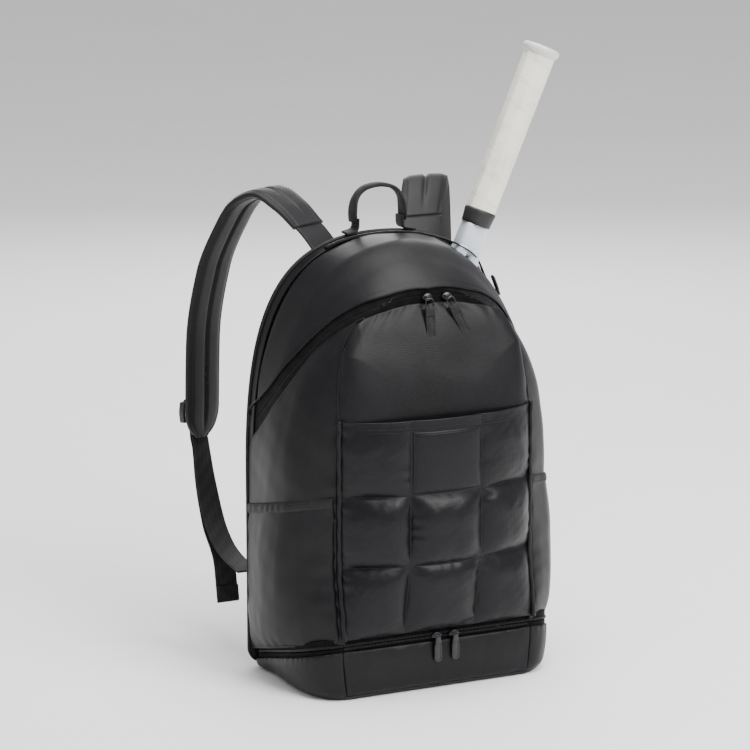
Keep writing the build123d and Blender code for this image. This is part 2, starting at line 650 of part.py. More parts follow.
# distance out from the root and height of the pad's middle line
PAD_LINE = [(34, 487), (57, 508), (83, 521.5), (108, 511), (130, 479), (151, 430), (165, 350), (168, 236)]
TAB_LINE = [(3, 438), (8, 454), (16, 466)]
STRAPS = {
    "left": {"out": (-0.667, 0.745), "wide": (0.88, 0.475), "web_x": -157.0, "side": -1},
    "right": {"out": (0.5, 0.866), "wide": (1.0, 0.0), "web_x": 138.0, "side": 1},
}
WEB_WIDE, WEB_THICK = 25.0, 2.0
LOCK = (40.0, 9.0, 24.0)
LOCK_Z = 248.0  # middle of the lock, which lies on the outer face of the pad's lower end


def ribbon_face(plane, line, thick):
    """Closed outline of a strip of even thickness that follows a smooth line in a plane."""
    curve = Spline(*[(a, b, 0) for a, b in line])
    steps = [n / 12 for n in range(13)]
    edges = []
    for shift in (thick / 2, -thick / 2):
        edge = []
        for step in steps:
            spot, ahead = curve @ step, curve % step
            edge.append((spot.X - ahead.Y * shift, spot.Y + ahead.X * shift))
        edges.append(edge)
    with BuildSketch(plane) as face:
        with BuildLine():
            Spline(*edges[0])
            Line(edges[0][-1], edges[1][-1])
            Spline(*edges[1])
            Line(edges[1][0], edges[0][0])
        make_face()
    return face.sketch


def strap_plane(strap):
    """Upright plane through the root of a strap, its x pointing out along the strap."""
    out_x, out_y = strap["out"]
    root = (strap["side"] * STRAP_ROOT_X, STRAP_ROOT_Y, 0)
    return Plane(origin=root, x_dir=(out_x, out_y, 0), z_dir=(out_y, -out_x, 0))


with BuildPart() as strap_tabs:
    for strap in STRAPS.values():
        extrude(ribbon_face(strap_plane(strap), TAB_LINE, 3), amount=22, both=True, dir=(1, 0, 0))
save(strap_tabs.part, "strap_tabs")

with BuildPart() as strap_anchors:
    for strap in STRAPS.values():
        with BuildSketch(Plane.XZ.offset(-BACK_Y)):
            with Locations((strap["side"] * 146, 108)):
                RectangleRounded(22, 34, 4)
        extrude(amount=-5)
save(strap_anchors.part, "strap_anchors")

for name, strap in STRAPS.items():
    across = (*strap["wide"], 0)
    pad_face = ribbon_face(strap_plane(strap), PAD_LINE, STRAP_PAD)
    with BuildPart() as shoulder_pad:
        extrude(pad_face, amount=PAD_WIDTH / 2, both=True, dir=across)
    save(shoulder_pad.part, f"shoulder_pad_{name}")

    pad_end = strap_plane(strap).from_local_coords((PAD_LINE[-1][0], LOCK_Z, 0))
    off_pad = Vector(-across[1], across[0], 0)
    lock_middle = pad_end + off_pad * (STRAP_PAD / 2 + 0.4 + LOCK[1] / 2)
    with BuildPart() as ladder_lock:
        with BuildSketch(Plane(origin=lock_middle, x_dir=across, z_dir=off_pad)):
            RectangleRounded(LOCK[0], LOCK[2], 3)
            with GridLocations(0, 9, 1, 2):
                Rectangle(27, 4.5, mode=Mode.SUBTRACT)
        extrude(amount=LOCK[1] / 2, both=True)
    save(ladder_lock.part, f"ladder_lock_{name}")

    lock_y, web_top = lock_middle.Y, LOCK_Z - LOCK[2] / 2 - 0.5
    main_run = [(lock_y, web_top), (lock_y - 8, 190), (lock_y - 26, 145), (150, 119), (122, 112), (99, 110)]
    tail_run = [(lock_y + 5, web_top), (lock_y - 3, 190), (lock_y - 23, 138), (155, 102), (146, 62)]
    side_view = Plane.YZ.offset(strap["web_x"])
    with BuildPart() as strap_webbing:
        for run in (main_run, tail_run):
            extrude(ribbon_face(side_view, run, WEB_THICK), amount=WEB_WIDE / 2, both=True)
    save(strap_webbing.part, f"strap_webbing_{name}")
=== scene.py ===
"""Looks of the racket backpack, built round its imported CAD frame.

Shapes are worked out in millimetres in the row frame (+Z up, front towards -Y) and written in metres.
"""

import json
import math

import bmesh
import bpy
import numpy as np
from mathutils import Matrix, Vector

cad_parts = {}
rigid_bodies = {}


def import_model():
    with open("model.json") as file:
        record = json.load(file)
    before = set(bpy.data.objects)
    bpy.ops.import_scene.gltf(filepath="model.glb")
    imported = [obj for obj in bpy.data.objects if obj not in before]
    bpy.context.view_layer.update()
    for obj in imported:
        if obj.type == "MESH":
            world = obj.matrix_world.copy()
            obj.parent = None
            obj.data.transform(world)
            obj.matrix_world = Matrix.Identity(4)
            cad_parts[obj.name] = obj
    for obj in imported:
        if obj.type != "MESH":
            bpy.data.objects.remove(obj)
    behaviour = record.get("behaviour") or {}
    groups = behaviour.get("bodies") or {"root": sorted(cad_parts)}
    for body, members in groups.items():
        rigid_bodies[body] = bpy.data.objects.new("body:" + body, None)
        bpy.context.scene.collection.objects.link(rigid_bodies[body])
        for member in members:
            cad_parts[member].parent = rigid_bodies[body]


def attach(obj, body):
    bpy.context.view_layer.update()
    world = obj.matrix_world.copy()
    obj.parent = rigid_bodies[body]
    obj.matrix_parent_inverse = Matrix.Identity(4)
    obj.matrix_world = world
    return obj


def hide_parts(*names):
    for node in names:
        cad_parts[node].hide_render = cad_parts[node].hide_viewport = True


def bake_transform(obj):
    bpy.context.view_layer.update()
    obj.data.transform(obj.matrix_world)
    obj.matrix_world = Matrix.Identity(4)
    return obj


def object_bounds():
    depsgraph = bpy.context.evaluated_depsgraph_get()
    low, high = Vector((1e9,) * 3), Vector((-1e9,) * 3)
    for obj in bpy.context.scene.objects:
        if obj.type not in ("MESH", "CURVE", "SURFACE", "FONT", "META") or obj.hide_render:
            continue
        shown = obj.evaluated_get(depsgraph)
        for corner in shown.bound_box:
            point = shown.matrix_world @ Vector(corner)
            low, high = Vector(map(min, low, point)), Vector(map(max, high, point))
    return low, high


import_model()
cad_low, cad_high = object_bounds()
MM = 0.001

# ---------------------------------------------------------------- sizes, in millimetres
SPRING_Z = 230.0  # where the sides start to arch in
RIB_Y = np.array([-64.0, -48.0, -37.0, -12.0, 25.0, 80.0])
RIB_HALF = np.array([114.0, 132.0, 143.0, 154.0, 158.0, 158.0])
RIB_TOP = np.array([422.0, 436.0, 446.0, 463.0, 479.0, 480.0])
RIB_PULL = np.array([0.70, 0.66, 0.60, 0.57, 0.62, 0.73])  # how square the shoulders are
ARCH_START = 0.42  # share of a rib's length below the arch
FRONT_Y, BACK_Y, BASE_Y = -64.0, 80.0, -73.0
HEM_Z, LEAN = 308.0, 18.0 / 128.0
SEAM_X = 113.0
SHOE_Z, SHOE_SLOPE = 61.0, 0.296
BAND = 7.0  # half-width of a zip band

# zip band edges: share along the rib, then distance in front of the front corner (negative is behind it)
ZIP_UP = np.array([[0.470, -143.0], [0.492, -141.0], [0.525, -118.0], [0.565, -94.0], [0.632, -65.0],
                   [0.717, -41.0], [0.805, -20.0], [0.890, -5.5], [1.0, 0.0]])
ZIP_LOW = np.array([[0.440, -144.0], [0.453, -138.5], [0.480, -117.0], [0.516, -94.0], [0.589, -62.0],
                    [0.666, -39.0], [0.718, -24.0], [0.769, -11.0], [0.815, 0.0], [0.880, 9.0], [
                        1.0, 16.0
                    ]])


# ---------------------------------------------------------------- small maths
def hermite(x, xs, ys):
    """Smooth curve through points, without overshoot."""
    d = np.diff(ys) / np.diff(xs)
    m = np.empty(len(xs))
    m[1:-1] = np.where(d[1:] * d[:-1] > 0, 2 * d[1:] * d[:-1] / (d[1:] + d[:-1] + 1e-12), 0)
    m[0], m[-1] = d[0], d[-1]
    i = np.clip(np.searchsorted(xs, x) - 1, 0, len(xs) - 2)
    h = xs[i + 1] - xs[i]
    t = (x - xs[i]) / h
    return (
        (2 * t**3 - 3 * t**2 + 1) * ys[i]
        + (t**3 - 2 * t**2 + t) * h * m[i]
        + (-2 * t**3 + 3 * t**2) * ys[i + 1]
        + (t**3 - t**2) * h * m[i + 1]
    )


def smooth(a, b, x):
    """0 before a, 1 after b, with soft ends."""
    t = np.clip((x - a) / (b - a), 0, 1)
    return t * t * (3 - 2 * t)


def bump(x, centre, half):
    """Soft hump of height 1."""
    t = np.clip(np.abs(x - centre) / half, 0, 1)
    return (1 - t * t) ** 2


def unit(v):
    return v / (np.linalg.norm(v, axis=-1, keepdims=True) + 1e-12)


def ripple(P, scale, seed, layers=5):
    """Smooth random field over points, about -1 to 1, with features near the given size in millimetres."""
    random = np.random.RandomState(seed)
    total = np.zeros(P.shape[:-1])
    for n in range(layers):
        ways = unit(random.normal(size=(3, 3)))
        stretch = 0.75**n
        shift = random.uniform(0, 6.3, 3)
        waves = [np.sin(P @ w * (2 * math.pi / (scale * stretch)) + s) for w, s in zip(ways, shift)]
        total += stretch * waves[0] * waves[1] + 0.5 * stretch * waves[2]
    return total / (1.5 * sum(0.75**n for n in range(layers)))


def run_along(path):
    """Distance along a path from its start, at each point."""
    return np.concatenate([[0], np.cumsum(np.linalg.norm(np.diff(path, axis=0), axis=1))])


def look_up(at, s, values):
    """Rows of values, known at distances s, read off at other distances."""
    return np.stack([np.interp(at, s, values[:, k]) for k in range(values.shape[1])], -1)


def resample(path, count):
    """Evenly spaced points along a smooth curve through the given points."""
    path = np.asarray(path, float)
    s = run_along(path)
    fine = np.linspace(0, s[-1], 40 * len(path))
    dense = np.stack([hermite(fine, s, path[:, k]) for k in range(path.shape[1])], -1)
    t = run_along(dense)
    even = np.linspace(0, t[-1], count)
    return look_up(even, t, dense)




# ---------------------------------------------------------------- the bag's outer surface
def arch(t, pull=0.73):
    u = 1 - t
    return u**3 + 3 * u * u * t + 3 * u * t * t * pull, 3 * u * u * t * pull + 3 * u * t * t + t**3


def shell_point(q, y):
    """Point on the right half of the bag at share q along the rib at depth y."""
    half, top = hermite(y, RIB_Y, RIB_HALF), hermite(y, RIB_Y, RIB_TOP)
    bx, bz = arch(np.clip((q - ARCH_START) / (1 - ARCH_START), 0, 1), hermite(y, RIB_Y, RIB_PULL))
    z = np.where(q < ARCH_START, SPRING_Z * q / ARCH_START, SPRING_Z + (top - SPRING_Z) * bz)
    x = half * np.where(q < ARCH_START, 1, bx) - np.where(z < 90, 5 * (1 - z / 90) ** 2, 0)
    return np.stack([x, y + 0 * x, z], -1)


def front_plane_y(z):
    return FRONT_Y + np.clip(z - HEM_Z, 0, None) * LEAN


def corner_y(q):
    """Depth at which the rib share q meets the front of the bag."""
    y = np.full(np.shape(q), -60.0)
    for _ in range(14):
        y = 0.5 * y + 0.5 * front_plane_y(shell_point(q, y)[..., 2])
    return y


def on_bag(q, v):
    """Right half: share q along the rib, distance v in front of the corner, negative back over the shell."""
    y = corner_y(q)
    corner = shell_point(q, y)
    back = shell_point(q, np.clip(y - v, None, BACK_Y))
    ahead = shell_point(np.clip(q + 0.004, 0, 1), corner_y(np.clip(q + 0.004, 0, 1)))
    behind = shell_point(np.clip(q - 0.004, 0, 1), corner_y(np.clip(q - 0.004, 0, 1)))
    run = unit(ahead - behind)
    inward = unit(np.stack([-np.abs(run[..., 2]), 0 * run[..., 0], -np.abs(run[..., 0])], -1))
    inward = unit(inward + np.stack([0 * q, inward[..., 2] * LEAN, 0 * q], -1))
    flat = corner + inward * np.clip(v, 0, None)[..., None]
    return np.where((v > 0)[..., None], flat, back)


def both_sides(q, v, side):
    P = on_bag(q, v)
    P[..., 0] *= side
    return P


def shoe_line(y):
    return SHOE_Z - SHOE_SLOPE * (y - BASE_Y)


# ---------------------------------------------------------------- mesh makers
def make_mesh(name, points, faces, uv=None):
    mesh = bpy.data.meshes.new(name)
    mesh.from_pydata([tuple(p) for p in np.asarray(points) * MM], [], faces)
    mesh.validate()
    for polygon in mesh.polygons:
        polygon.use_smooth = True
    if uv is not None:
        layer = mesh.uv_layers.new(name="cloth")
        corners = np.array([loop.vertex_index for loop in mesh.loops])
        layer.data.foreach_set("uv", (np.asarray(uv)[corners] * MM).ravel())
    obj = bpy.data.objects.new(name, mesh)
    bpy.context.scene.collection.objects.link(obj)
    return obj


def grid_faces(rows, cols, wrap=False, flip=False, base=0):
    faces = []
    for i in range(rows - 1):
        for j in range(cols if wrap else cols - 1):
            k = (j + 1) % cols
            quad = (
                base + i * cols + j, base + i * cols + k, base + (i + 1) * cols + k,
                base + (i + 1) * cols + j,
            )
            faces.append(quad[::-1] if flip else quad)
    return faces


def end_caps(rows, sides):
    """The two faces that close a tube of rings."""
    return [tuple(range(sides))[::-1], tuple((rows - 1) * sides + j for j in range(sides))]


def normals_of(P):
    return unit(np.cross(np.gradient(P, axis=0), np.gradient(P, axis=1)))


def arc_uv(P):
    du = np.linalg.norm(np.diff(P, axis=1), axis=-1).cumsum(1)
    dv = np.linalg.norm(np.diff(P, axis=0), axis=-1).cumsum(0)
    u = np.concatenate([np.zeros((P.shape[0], 1)), du], 1)
    v = np.concatenate([np.zeros((1, P.shape[1])), dv], 0)
    return np.stack([u, v], -1).reshape(-1, 2)


def cloth_sheet(name, P, thick, outward):
    """Closed sheet of cloth with the grid as its outer face. outward is a rough outward vector."""
    rows, cols = P.shape[:2]
    N = normals_of(P)
    if (N * np.asarray(outward)).sum() < 0:
        N = -N
    Q = P - N * thick
    count = rows * cols
    outer = grid_faces(rows, cols)
    normal = np.cross(P[0, 1] - P[0, 0], P[1, 0] - P[0, 0])
    flip = (normal * N[0, 0]).sum() < 0
    faces = [f[::-1] for f in outer] if flip else outer
    faces = faces + [tuple(count + i for i in f[::-1]) for f in faces]
    rim = (
        [(0, j) for j in range(cols)]
        + [(i, cols - 1) for i in range(1, rows)]
        + [(rows - 1, j) for j in range(cols - 2, -1, -1)]
        + [(i, 0) for i in range(rows - 2, 0, -1)]
    )
    ring = [i * cols + j for i, j in rim]
    for s, e in zip(ring, ring[1:] + ring[:1]):
        quad = (s, count + s, count + e, e)
        faces.append(quad[::-1] if flip else quad)
    uv = arc_uv(P)
    return make_mesh(
        name, np.concatenate([P.reshape(-1, 3), Q.reshape(-1, 3)]), faces, np.concatenate([uv, uv])
    )


def sweep(name, path, side, up, section, caps=True, wrap=False):
    """Section (across, up) carried along a path. side and up are vectors for each point or one for all.
    section may also be a list with one section for each point."""
    path = np.asarray(path, float)
    n = len(path)
    side = np.broadcast_to(np.asarray(side, float), (n, 3))
    up = np.broadcast_to(np.asarray(up, float), (n, 3))
    section = np.asarray(section, float)
    if section.ndim == 2:
        section = np.broadcast_to(section, (n, *section.shape))
    m = section.shape[1]
    P = path[:, None] + side[:, None] * section[..., :1] + up[:, None] * section[..., 1:]
    faces = grid_faces(n, m, wrap=True)
    if wrap:
        faces += [(((n - 1) * m + j), ((n - 1) * m + (j + 1) % m), (j + 1) % m, j) for j in range(m)]
    elif caps:
        faces += end_caps(n, m)
    along = run_along(path)
    ring = run_along(section[0])
    uv = np.stack(np.meshgrid(ring, along), -1).reshape(-1, 2)
    obj = make_mesh(name, P.reshape(-1, 3), faces, uv)
    fix_normals(obj)
    return obj


def fix_normals(obj):
    work = bmesh.new()
    work.from_mesh(obj.data)
    bmesh.ops.recalc_face_normals(work, faces=work.faces)
    work.to_mesh(obj.data)
    work.free()


def transported(path, start):
    """Side vectors that turn as little as possible along a path."""
    path = np.asarray(path, float)
    T = unit(np.gradient(path, axis=0))
    side = [unit(start - T[0] * np.dot(start, T[0]))]
    for t in T[1:]:
        s = side[-1] - t * np.dot(side[-1], t)
        side.append(unit(s))
    side = np.array(side)
    return side, np.cross(T, side)


def tube(name, path, radius, sides=10, start=(0.3, 0.5, 0.81), flatten=1.0):
    side, up = transported(path, np.asarray(start, float))
    a = np.linspace(0, 2 * math.pi, sides, endpoint=False)
    return sweep(name, path, side, up, np.stack([radius * np.cos(a), radius * flatten * np.sin(a)], -1))


def rounded_box(half_w, half_h, radius, steps=4):
    """Rounded rectangle outline as section points."""
    points = []
    for cx, cy, a0 in ((1, 1, 0), (-1, 1, 90), (-1, -1, 180), (1, -1, 270)):
        for s in range(steps + 1):
            a = math.radians(a0 + 90 * s / steps)
            points.append(
                (
                    cx * (half_w - radius) + radius * math.cos(a),
                    cy * (half_h - radius) + radius * math.sin(a),
                )
            )
    return np.array(points)


def joined(name, objects):
    bpy.ops.object.select_all(action="DESELECT")
    for obj in objects:
        obj.select_set(True)
    bpy.context.view_layer.objects.active = objects[0]
    bpy.ops.object.join()
    objects[0].name = name
    objects[0].data.name = name
    return objects[0]


def beads(name, points, along, up, size):
    """Many small rounded bars in one mesh, each lying along a direction. size is long, wide, high."""
    points, along, up = (np.asarray(a, float) for a in (points, along, up))
    along = unit(along)
    side = unit(np.cross(up, along))
    up = np.cross(along, side)
    long, wide, high = (s / 2 for s in size)
    rings = [(-1.0, 0.35), (-0.8, 0.85), (0.0, 1.0), (0.8, 0.85), (1.0, 0.35)]
    sides = 6
    a = np.linspace(0, 2 * math.pi, sides, endpoint=False)
    local = np.array(
        [[r[0] * long, r[1] * wide * math.cos(t), r[1] * high * math.sin(t)] for r in rings for t in a]
    )
    P = (
        points[:, None]
        + along[:, None] * local[None, :, :1]
        + side[:, None] * local[None, :, 1:2]
        + up[:, None] * local[None, :, 2:]
    )
    one = grid_faces(len(rings), sides, wrap=True, flip=True)
    one += [tuple(range(sides)), tuple((len(rings) - 1) * sides + j for j in range(sides))[::-1]]
    k = len(local)
    faces = [tuple(n * k + i for i in f) for n in range(len(points)) for f in one]
    obj = make_mesh(name, P.reshape(-1, 3), faces)
    return obj


def stitch_row(name, path, up, pitch=3.6, long=2.6, wide=0.55, lift=0.15):
    """Row of thread stitches along a path; up is the fabric's outward vector, one or one per point."""
    path = np.asarray(path, float)
    s = run_along(path)
    count = max(2, int(s[-1] / pitch))
    at = (np.arange(count) + 0.5) * s[-1] / count
    points = look_up(at, s, path)
    ups = np.broadcast_to(np.asarray(up, float), path.shape)
    ups = unit(look_up(at, s, ups))
    tangent = unit(np.gradient(path, axis=0))
    along = look_up(at, s, tangent)
    return beads(name, points + ups * lift, along, ups, (long, wide, wide * 0.8))


# ---------------------------------------------------------------- materials
def new_material(name, color, roughness, metallic=0.0, specular=0.5):
    material = bpy.data.materials.new(name)
    material.use_nodes = True
    nodes, links = material.node_tree.nodes, material.node_tree.links
    shader = nodes["Principled BSDF"]
    shader.inputs["Base Color"].default_value = (*color, 1)
    shader.inputs["Roughness"].default_value = roughness
    shader.inputs["Metallic"].default_value = metallic
    shader.inputs["Specular IOR Level"].default_value = specular
    return material, nodes, links, shader


def ramp(nodes, links, source, stops):
    node = nodes.new("ShaderNodeValToRGB")
    node.color_ramp.elements[0].position, node.color_ramp.elements[1].position = stops[0][0], stops[-1][0]
    node.color_ramp.elements[0].color, node.color_ramp.elements[1].color = (*stops[0][1], 1), (
        *stops[-1][1], 1
    )
    for position, color in stops[1:-1]:
        node.color_ramp.elements.new(position).color = (*color, 1)
    links.new(source, node.inputs["Fac"])
    return node.outputs["Color"]


def noise(nodes, links, vector, scale, detail=4.0, roughness=0.55, distortion=0.0):
    node = nodes.new("ShaderNodeTexNoise")
    node.inputs["Scale"].default_value = scale
    node.inputs["Detail"].default_value = detail
    node.inputs["Roughness"].default_value = roughness
    node.inputs["Distortion"].default_value = distortion
    links.new(vector, node.inputs["Vector"])
    return node.outputs["Fac"]


def wave(nodes, links, vector, scale, direction, distortion=0.0):
    node = nodes.new("ShaderNodeTexWave")
    node.bands_direction = direction
    node.inputs["Scale"].default_value = scale
    node.inputs["Distortion"].default_value = distortion
    links.new(vector, node.inputs["Vector"])
    return node.outputs["Fac"]


def math_node(nodes, links, kind, a, b):
    node = nodes.new("ShaderNodeMath")
    node.operation = kind
    for socket, value in zip(node.inputs, (a, b)):
        if isinstance(value, (int, float)):
            socket.default_value = value
        else:
            links.new(value, socket)
    return node.outputs[0]


def bump_node(nodes, links, height, strength, distance, after=None):
    node = nodes.new("ShaderNodeBump")
    node.inputs["Strength"].default_value = strength
    node.inputs["Distance"].default_value = distance
    links.new(height, node.inputs["Height"])
    if after is not None:
        links.new(after, node.inputs["Normal"])
    return node.outputs["Normal"]


def tone(nodes, links, factor, dark, light):
    """Colour that varies between two near tones."""
    return ramp(nodes, links, factor, [(0.3, dark), (0.7, light)])


def cloth_material(
    name, dark, light, rough, weave, crinkle, weave_bump=0.25, crinkle_bump=0.2, sheen=0.15, specular=0.5
):
    """Woven cloth: fine threads, soft crinkles, small changes of tone. weave is threads per metre."""
    material, nodes, links, shader = new_material(name, light, rough, specular=specular)
    place = nodes.new("ShaderNodeTexCoord")
    uv, space = place.outputs["UV"], place.outputs["Object"]
    warp = wave(nodes, links, uv, weave / 20.0, "X")
    weft = wave(nodes, links, uv, weave / 20.0, "Y")
    threads = math_node(nodes, links, "MAXIMUM", warp, weft)
    soft = noise(nodes, links, space, crinkle, 5.0, 0.6, 0.4)
    wide = noise(nodes, links, space, crinkle / 5.0, 3.0)
    both = math_node(
        nodes, links, "ADD", math_node(nodes, links, "MULTIPLY", soft, 0.6),
        math_node(nodes, links, "MULTIPLY", wide, 0.4),
    )
    links.new(tone(nodes, links, both, dark, light), shader.inputs["Base Color"])
    spread = nodes.new("ShaderNodeMapRange")
    links.new(both, spread.inputs["Value"])
    spread.inputs["To Min"].default_value = rough - 0.07
    spread.inputs["To Max"].default_value = rough + 0.07
    links.new(spread.outputs["Result"], shader.inputs["Roughness"])
    big = bump_node(nodes, links, soft, crinkle_bump, 0.002)
    fine = bump_node(nodes, links, threads, weave_bump, 0.0002, big)
    links.new(fine, shader.inputs["Normal"])
    shader.inputs["Sheen Weight"].default_value = sheen
    shader.inputs["Sheen Roughness"].default_value = 0.4
    return material


def webbing_material(name, dark, light, rough=0.75, specular=0.35):
    """Ribbed webbing: diagonal herringbone ribs along the strip."""
    material, nodes, links, shader = new_material(name, light, rough, specular=specular)
    place = nodes.new("ShaderNodeTexCoord")
    uv = place.outputs["UV"]
    ribs = wave(nodes, links, uv, 32.0, "DIAGONAL", 0.4)
    cross = wave(nodes, links, uv, 60.0, "X", 0.2)
    mix = math_node(
        nodes, links, "ADD", math_node(nodes, links, "MULTIPLY", ribs, 0.6),
        math_node(nodes, links, "MULTIPLY", cross, 0.4),
    )
    links.new(tone(nodes, links, mix, dark, light), shader.inputs["Base Color"])
    links.new(bump_node(nodes, links, mix, 0.5, 0.0006), shader.inputs["Normal"])
    shader.inputs["Sheen Weight"].default_value = 0.04
    return material


def moulded_material(name, color, rough, grain=1500.0, metallic=0.0, specular=0.5, strength=0.08):
    """Moulded plastic or lacquered metal: fine grain and faint wear."""
    material, nodes, links, shader = new_material(name, color, rough, metallic, specular)
    space = nodes.new("ShaderNodeTexCoord").outputs["Object"]
    fine = noise(nodes, links, space, grain, 3.0)
    wide = noise(nodes, links, space, grain / 12.0, 4.0)
    lighter = tuple(min(1.0, c * 1.35 + 0.004) for c in color)
    links.new(tone(nodes, links, wide, color, lighter), shader.inputs["Base Color"])
    links.new(bump_node(nodes, links, fine, strength, 0.0003), shader.inputs["Normal"])
    return material


SHELL = cloth_material(
    "nylon_shell", (0.0036, 0.0036, 0.0042), (0.0062, 0.0060, 0.0070), 0.43, 2600, 60, sheen=0.015,
    crinkle_bump=0.12, specular=0.20,
)
QUILT = cloth_material(
    "nylon_quilt", (0.0034, 0.0031, 0.0040), (0.0060, 0.0054, 0.0068), 0.37, 2600, 75, sheen=0.015,
    crinkle_bump=0.16, specular=0.20,
)
LINING = cloth_material("lining", (0.03, 0.03, 0.034), (0.045, 0.045, 0.05), 0.7, 1500, 40)
MESH = cloth_material(
    "spacer_mesh", (0.003, 0.003, 0.0035), (0.0075, 0.0075, 0.0085), 0.75, 520, 90, weave_bump=0.9,
    sheen=0.06, specular=0.2,
)
PAD = cloth_material(
    "strap_cloth", (0.0045, 0.0045, 0.0052), (0.0082, 0.0080, 0.0092), 0.55, 2000, 90, sheen=0.05,
    crinkle_bump=0.15, specular=0.3,
)
WEBBING = webbing_material("webbing", (0.003, 0.003, 0.0034), (0.0085, 0.0085, 0.0095))
TAPE = webbing_material("zip_tape", (0.0010, 0.0010, 0.0012), (0.0024, 0.0024, 0.0028), 0.8, specular=0.08)
BINDING = cloth_material(
    "binding", (0.003, 0.003, 0.0034), (0.0062, 0.0062, 0.007), 0.6, 1500, 120, sheen=0.04, specular=0.3
)
THREAD = cloth_material(
    "thread", (0.009, 0.009, 0.010), (0.016, 0.0155, 0.0175), 0.55, 5000, 300, sheen=0.03, specular=0.3
)
COIL = moulded_material("zip_coil", (0.004, 0.004, 0.0045), 0.35, specular=0.45)
BLACK_METAL = moulded_material("black_metal", (0.03, 0.03, 0.033), 0.28, metallic=0.85)
PLASTIC = moulded_material("moulded_plastic", (0.006, 0.006, 0.0065), 0.36)
BOARD = moulded_material("board", (0.05, 0.05, 0.052), 0.5)
RUBBER = moulded_material("collar_rubber", (0.005, 0.005, 0.0055), 0.5)
STRING = moulded_material("string", (0.75, 0.74, 0.68), 0.35)


def dress(obj, material, body=None, replaces=()):
    """Give a piece its material, its body and the CAD nodes it stands for."""
    obj.data.materials.clear()
    obj.data.materials.append(material)
    if body:
        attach(obj, body)
    if replaces:
        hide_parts(*replaces)
    return obj


def bend_with_lid(obj):
    """Bakes the front cloth's placement into its mesh, with no bending."""
    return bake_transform(obj)


SIDES = {"left": -1, "right": 1}


def zip_edge(table, q):
    return hermite(q, table[:, 0], table[:, 1])


# ---------------------------------------------------------------- hood
def sleeve_open(q, side):
    """How far the racket spreads the sleeve's mouth at this place, 0 to 1."""
    return bump(q, 0.772, 0.10) if side > 0 else 0 * q


def hood_grid(side, rows, q_low=0.4705):
    q = np.linspace(q_low, 1.0, rows)
    front = zip_edge(ZIP_UP, q)
    corner = corner_y(q)
    rear = 61.0 - 18.0 * sleeve_open(q, side)
    back_v = corner - rear
    back_v = np.minimum(back_v, front - 0.5)
    return q, front, back_v


def whole_strip(maker, rows, cols):
    """Left half and mirrored right half of a strip joined at the top into one grid."""
    left = maker(-1, rows, cols)
    right = maker(1, rows, cols)
    return np.concatenate([left, right[::-1][1:]])


def hood_half(side, rows, cols):
    q, front, back_v = hood_grid(side, rows)
    t = np.linspace(0, 1, cols)[None, :]
    v = front[:, None] + (back_v - front)[:, None] * t
    Q = np.repeat(q[:, None], cols, 1)
    P = both_sides(Q, v, side)
    return P


def soften(P, amount, scale, seed, edge_rows=0, edge_cols=6):
    """Soft folds pressed into a grid, fading out at its edges."""
    rows, cols = P.shape[:2]
    i = np.minimum(np.arange(rows), np.arange(rows)[::-1])[:, None]
    j = np.minimum(np.arange(cols), np.arange(cols)[::-1])[None, :]
    fade = np.ones((rows, cols))
    if edge_rows:
        fade = fade * smooth(0, edge_rows, i + 0 * j)
    if edge_cols:
        fade = fade * smooth(0, edge_cols, j + 0 * i)
    return P + normals_of(P) * (ripple(P, scale, seed) * amount * fade)[..., None]


hood_P = whole_strip(hood_half, 150, 60)
outward = hood_P - np.array([0, 20.0, 250.0])
hood_P = soften(hood_P, 1.1, 120, 3)
# fine gathers where the hood is sewn to the zip and to the sleeve
hood_N = normals_of(hood_P)
hood_N *= np.sign((hood_N * outward).sum(-1, keepdims=True))
run = run_along(hood_P[:, 0])[:, None]
col = np.linspace(0, 1, hood_P.shape[1])[None, :]
gather = np.sin(run / 9.0 + 1.7 * np.sin(run / 31.0)) * np.exp(-col / 0.05) * 0.25
gather = gather + np.sin(run / 13.0 + 2.1 * np.sin(run / 47.0)) * np.exp(-(1 - col) / 0.08) * 0.5
roll = 0.9 * (1 - np.exp(-col / 0.03)) - 0.5 * np.exp(-(((col - 0.045) / 0.010) ** 2))
hood_P = hood_P + hood_N * (gather + roll)[..., None]
hood = cloth_sheet("hood_skin", hood_P, 1.5, outward)
dress(hood, SHELL, "bag", ["hood"])


# strip of cloth behind the sleeve's mouth, up to the back seam
def rear_half(side, rows, cols):
    q = np.linspace(0.40, 1.0, rows)
    front = 67.0 + 6.5 * sleeve_open(q, side)
    t = np.linspace(0, 1, cols)[None, :]
    y = front[:, None] + (BACK_Y - front)[:, None] * t
    P = shell_point(np.repeat(q[:, None], cols, 1), y)
    P[..., 0] *= side
    return P


rear_P = whole_strip(rear_half, 110, 8)
rear = cloth_sheet("hood_rear_strip", rear_P, 1.4, rear_P - np.array([0, 20.0, 250.0]))
dress(rear, SHELL, "bag", [])


# ---------------------------------------------------------------- zip bands
def band_strip(a, b):
    """Maker of a strip of the zip band, from share a to share b of its width."""

    def maker(side, rows, cols):
        q_up = np.linspace(ZIP_UP[0, 0], 1, rows)
        q_low = np.linspace(ZIP_LOW[0, 0], 1, rows)
        # pair places on the two edges by their share of each edge's length
        up = both_sides(q_up, zip_edge(ZIP_UP, q_up), side)
        low = both_sides(q_low, zip_edge(ZIP_LOW, q_low), side)
        s_up = run_along(up)
        s_low = run_along(low)
        share = np.linspace(0, 1, rows)
        q_u = np.interp(share, s_up / s_up[-1], q_up)
        q_l = np.interp(share, s_low / s_low[-1], q_low)
        v_u, v_l = zip_edge(ZIP_UP, q_u), zip_edge(ZIP_LOW, q_l)
        t = np.linspace(a, b, cols)[None, :]
        q = q_l[:, None] + (q_u - q_l)[:, None] * t
        v = v_l[:, None] + (v_u - v_l)[:, None] * t
        return both_sides(q, v, side)

    return maker


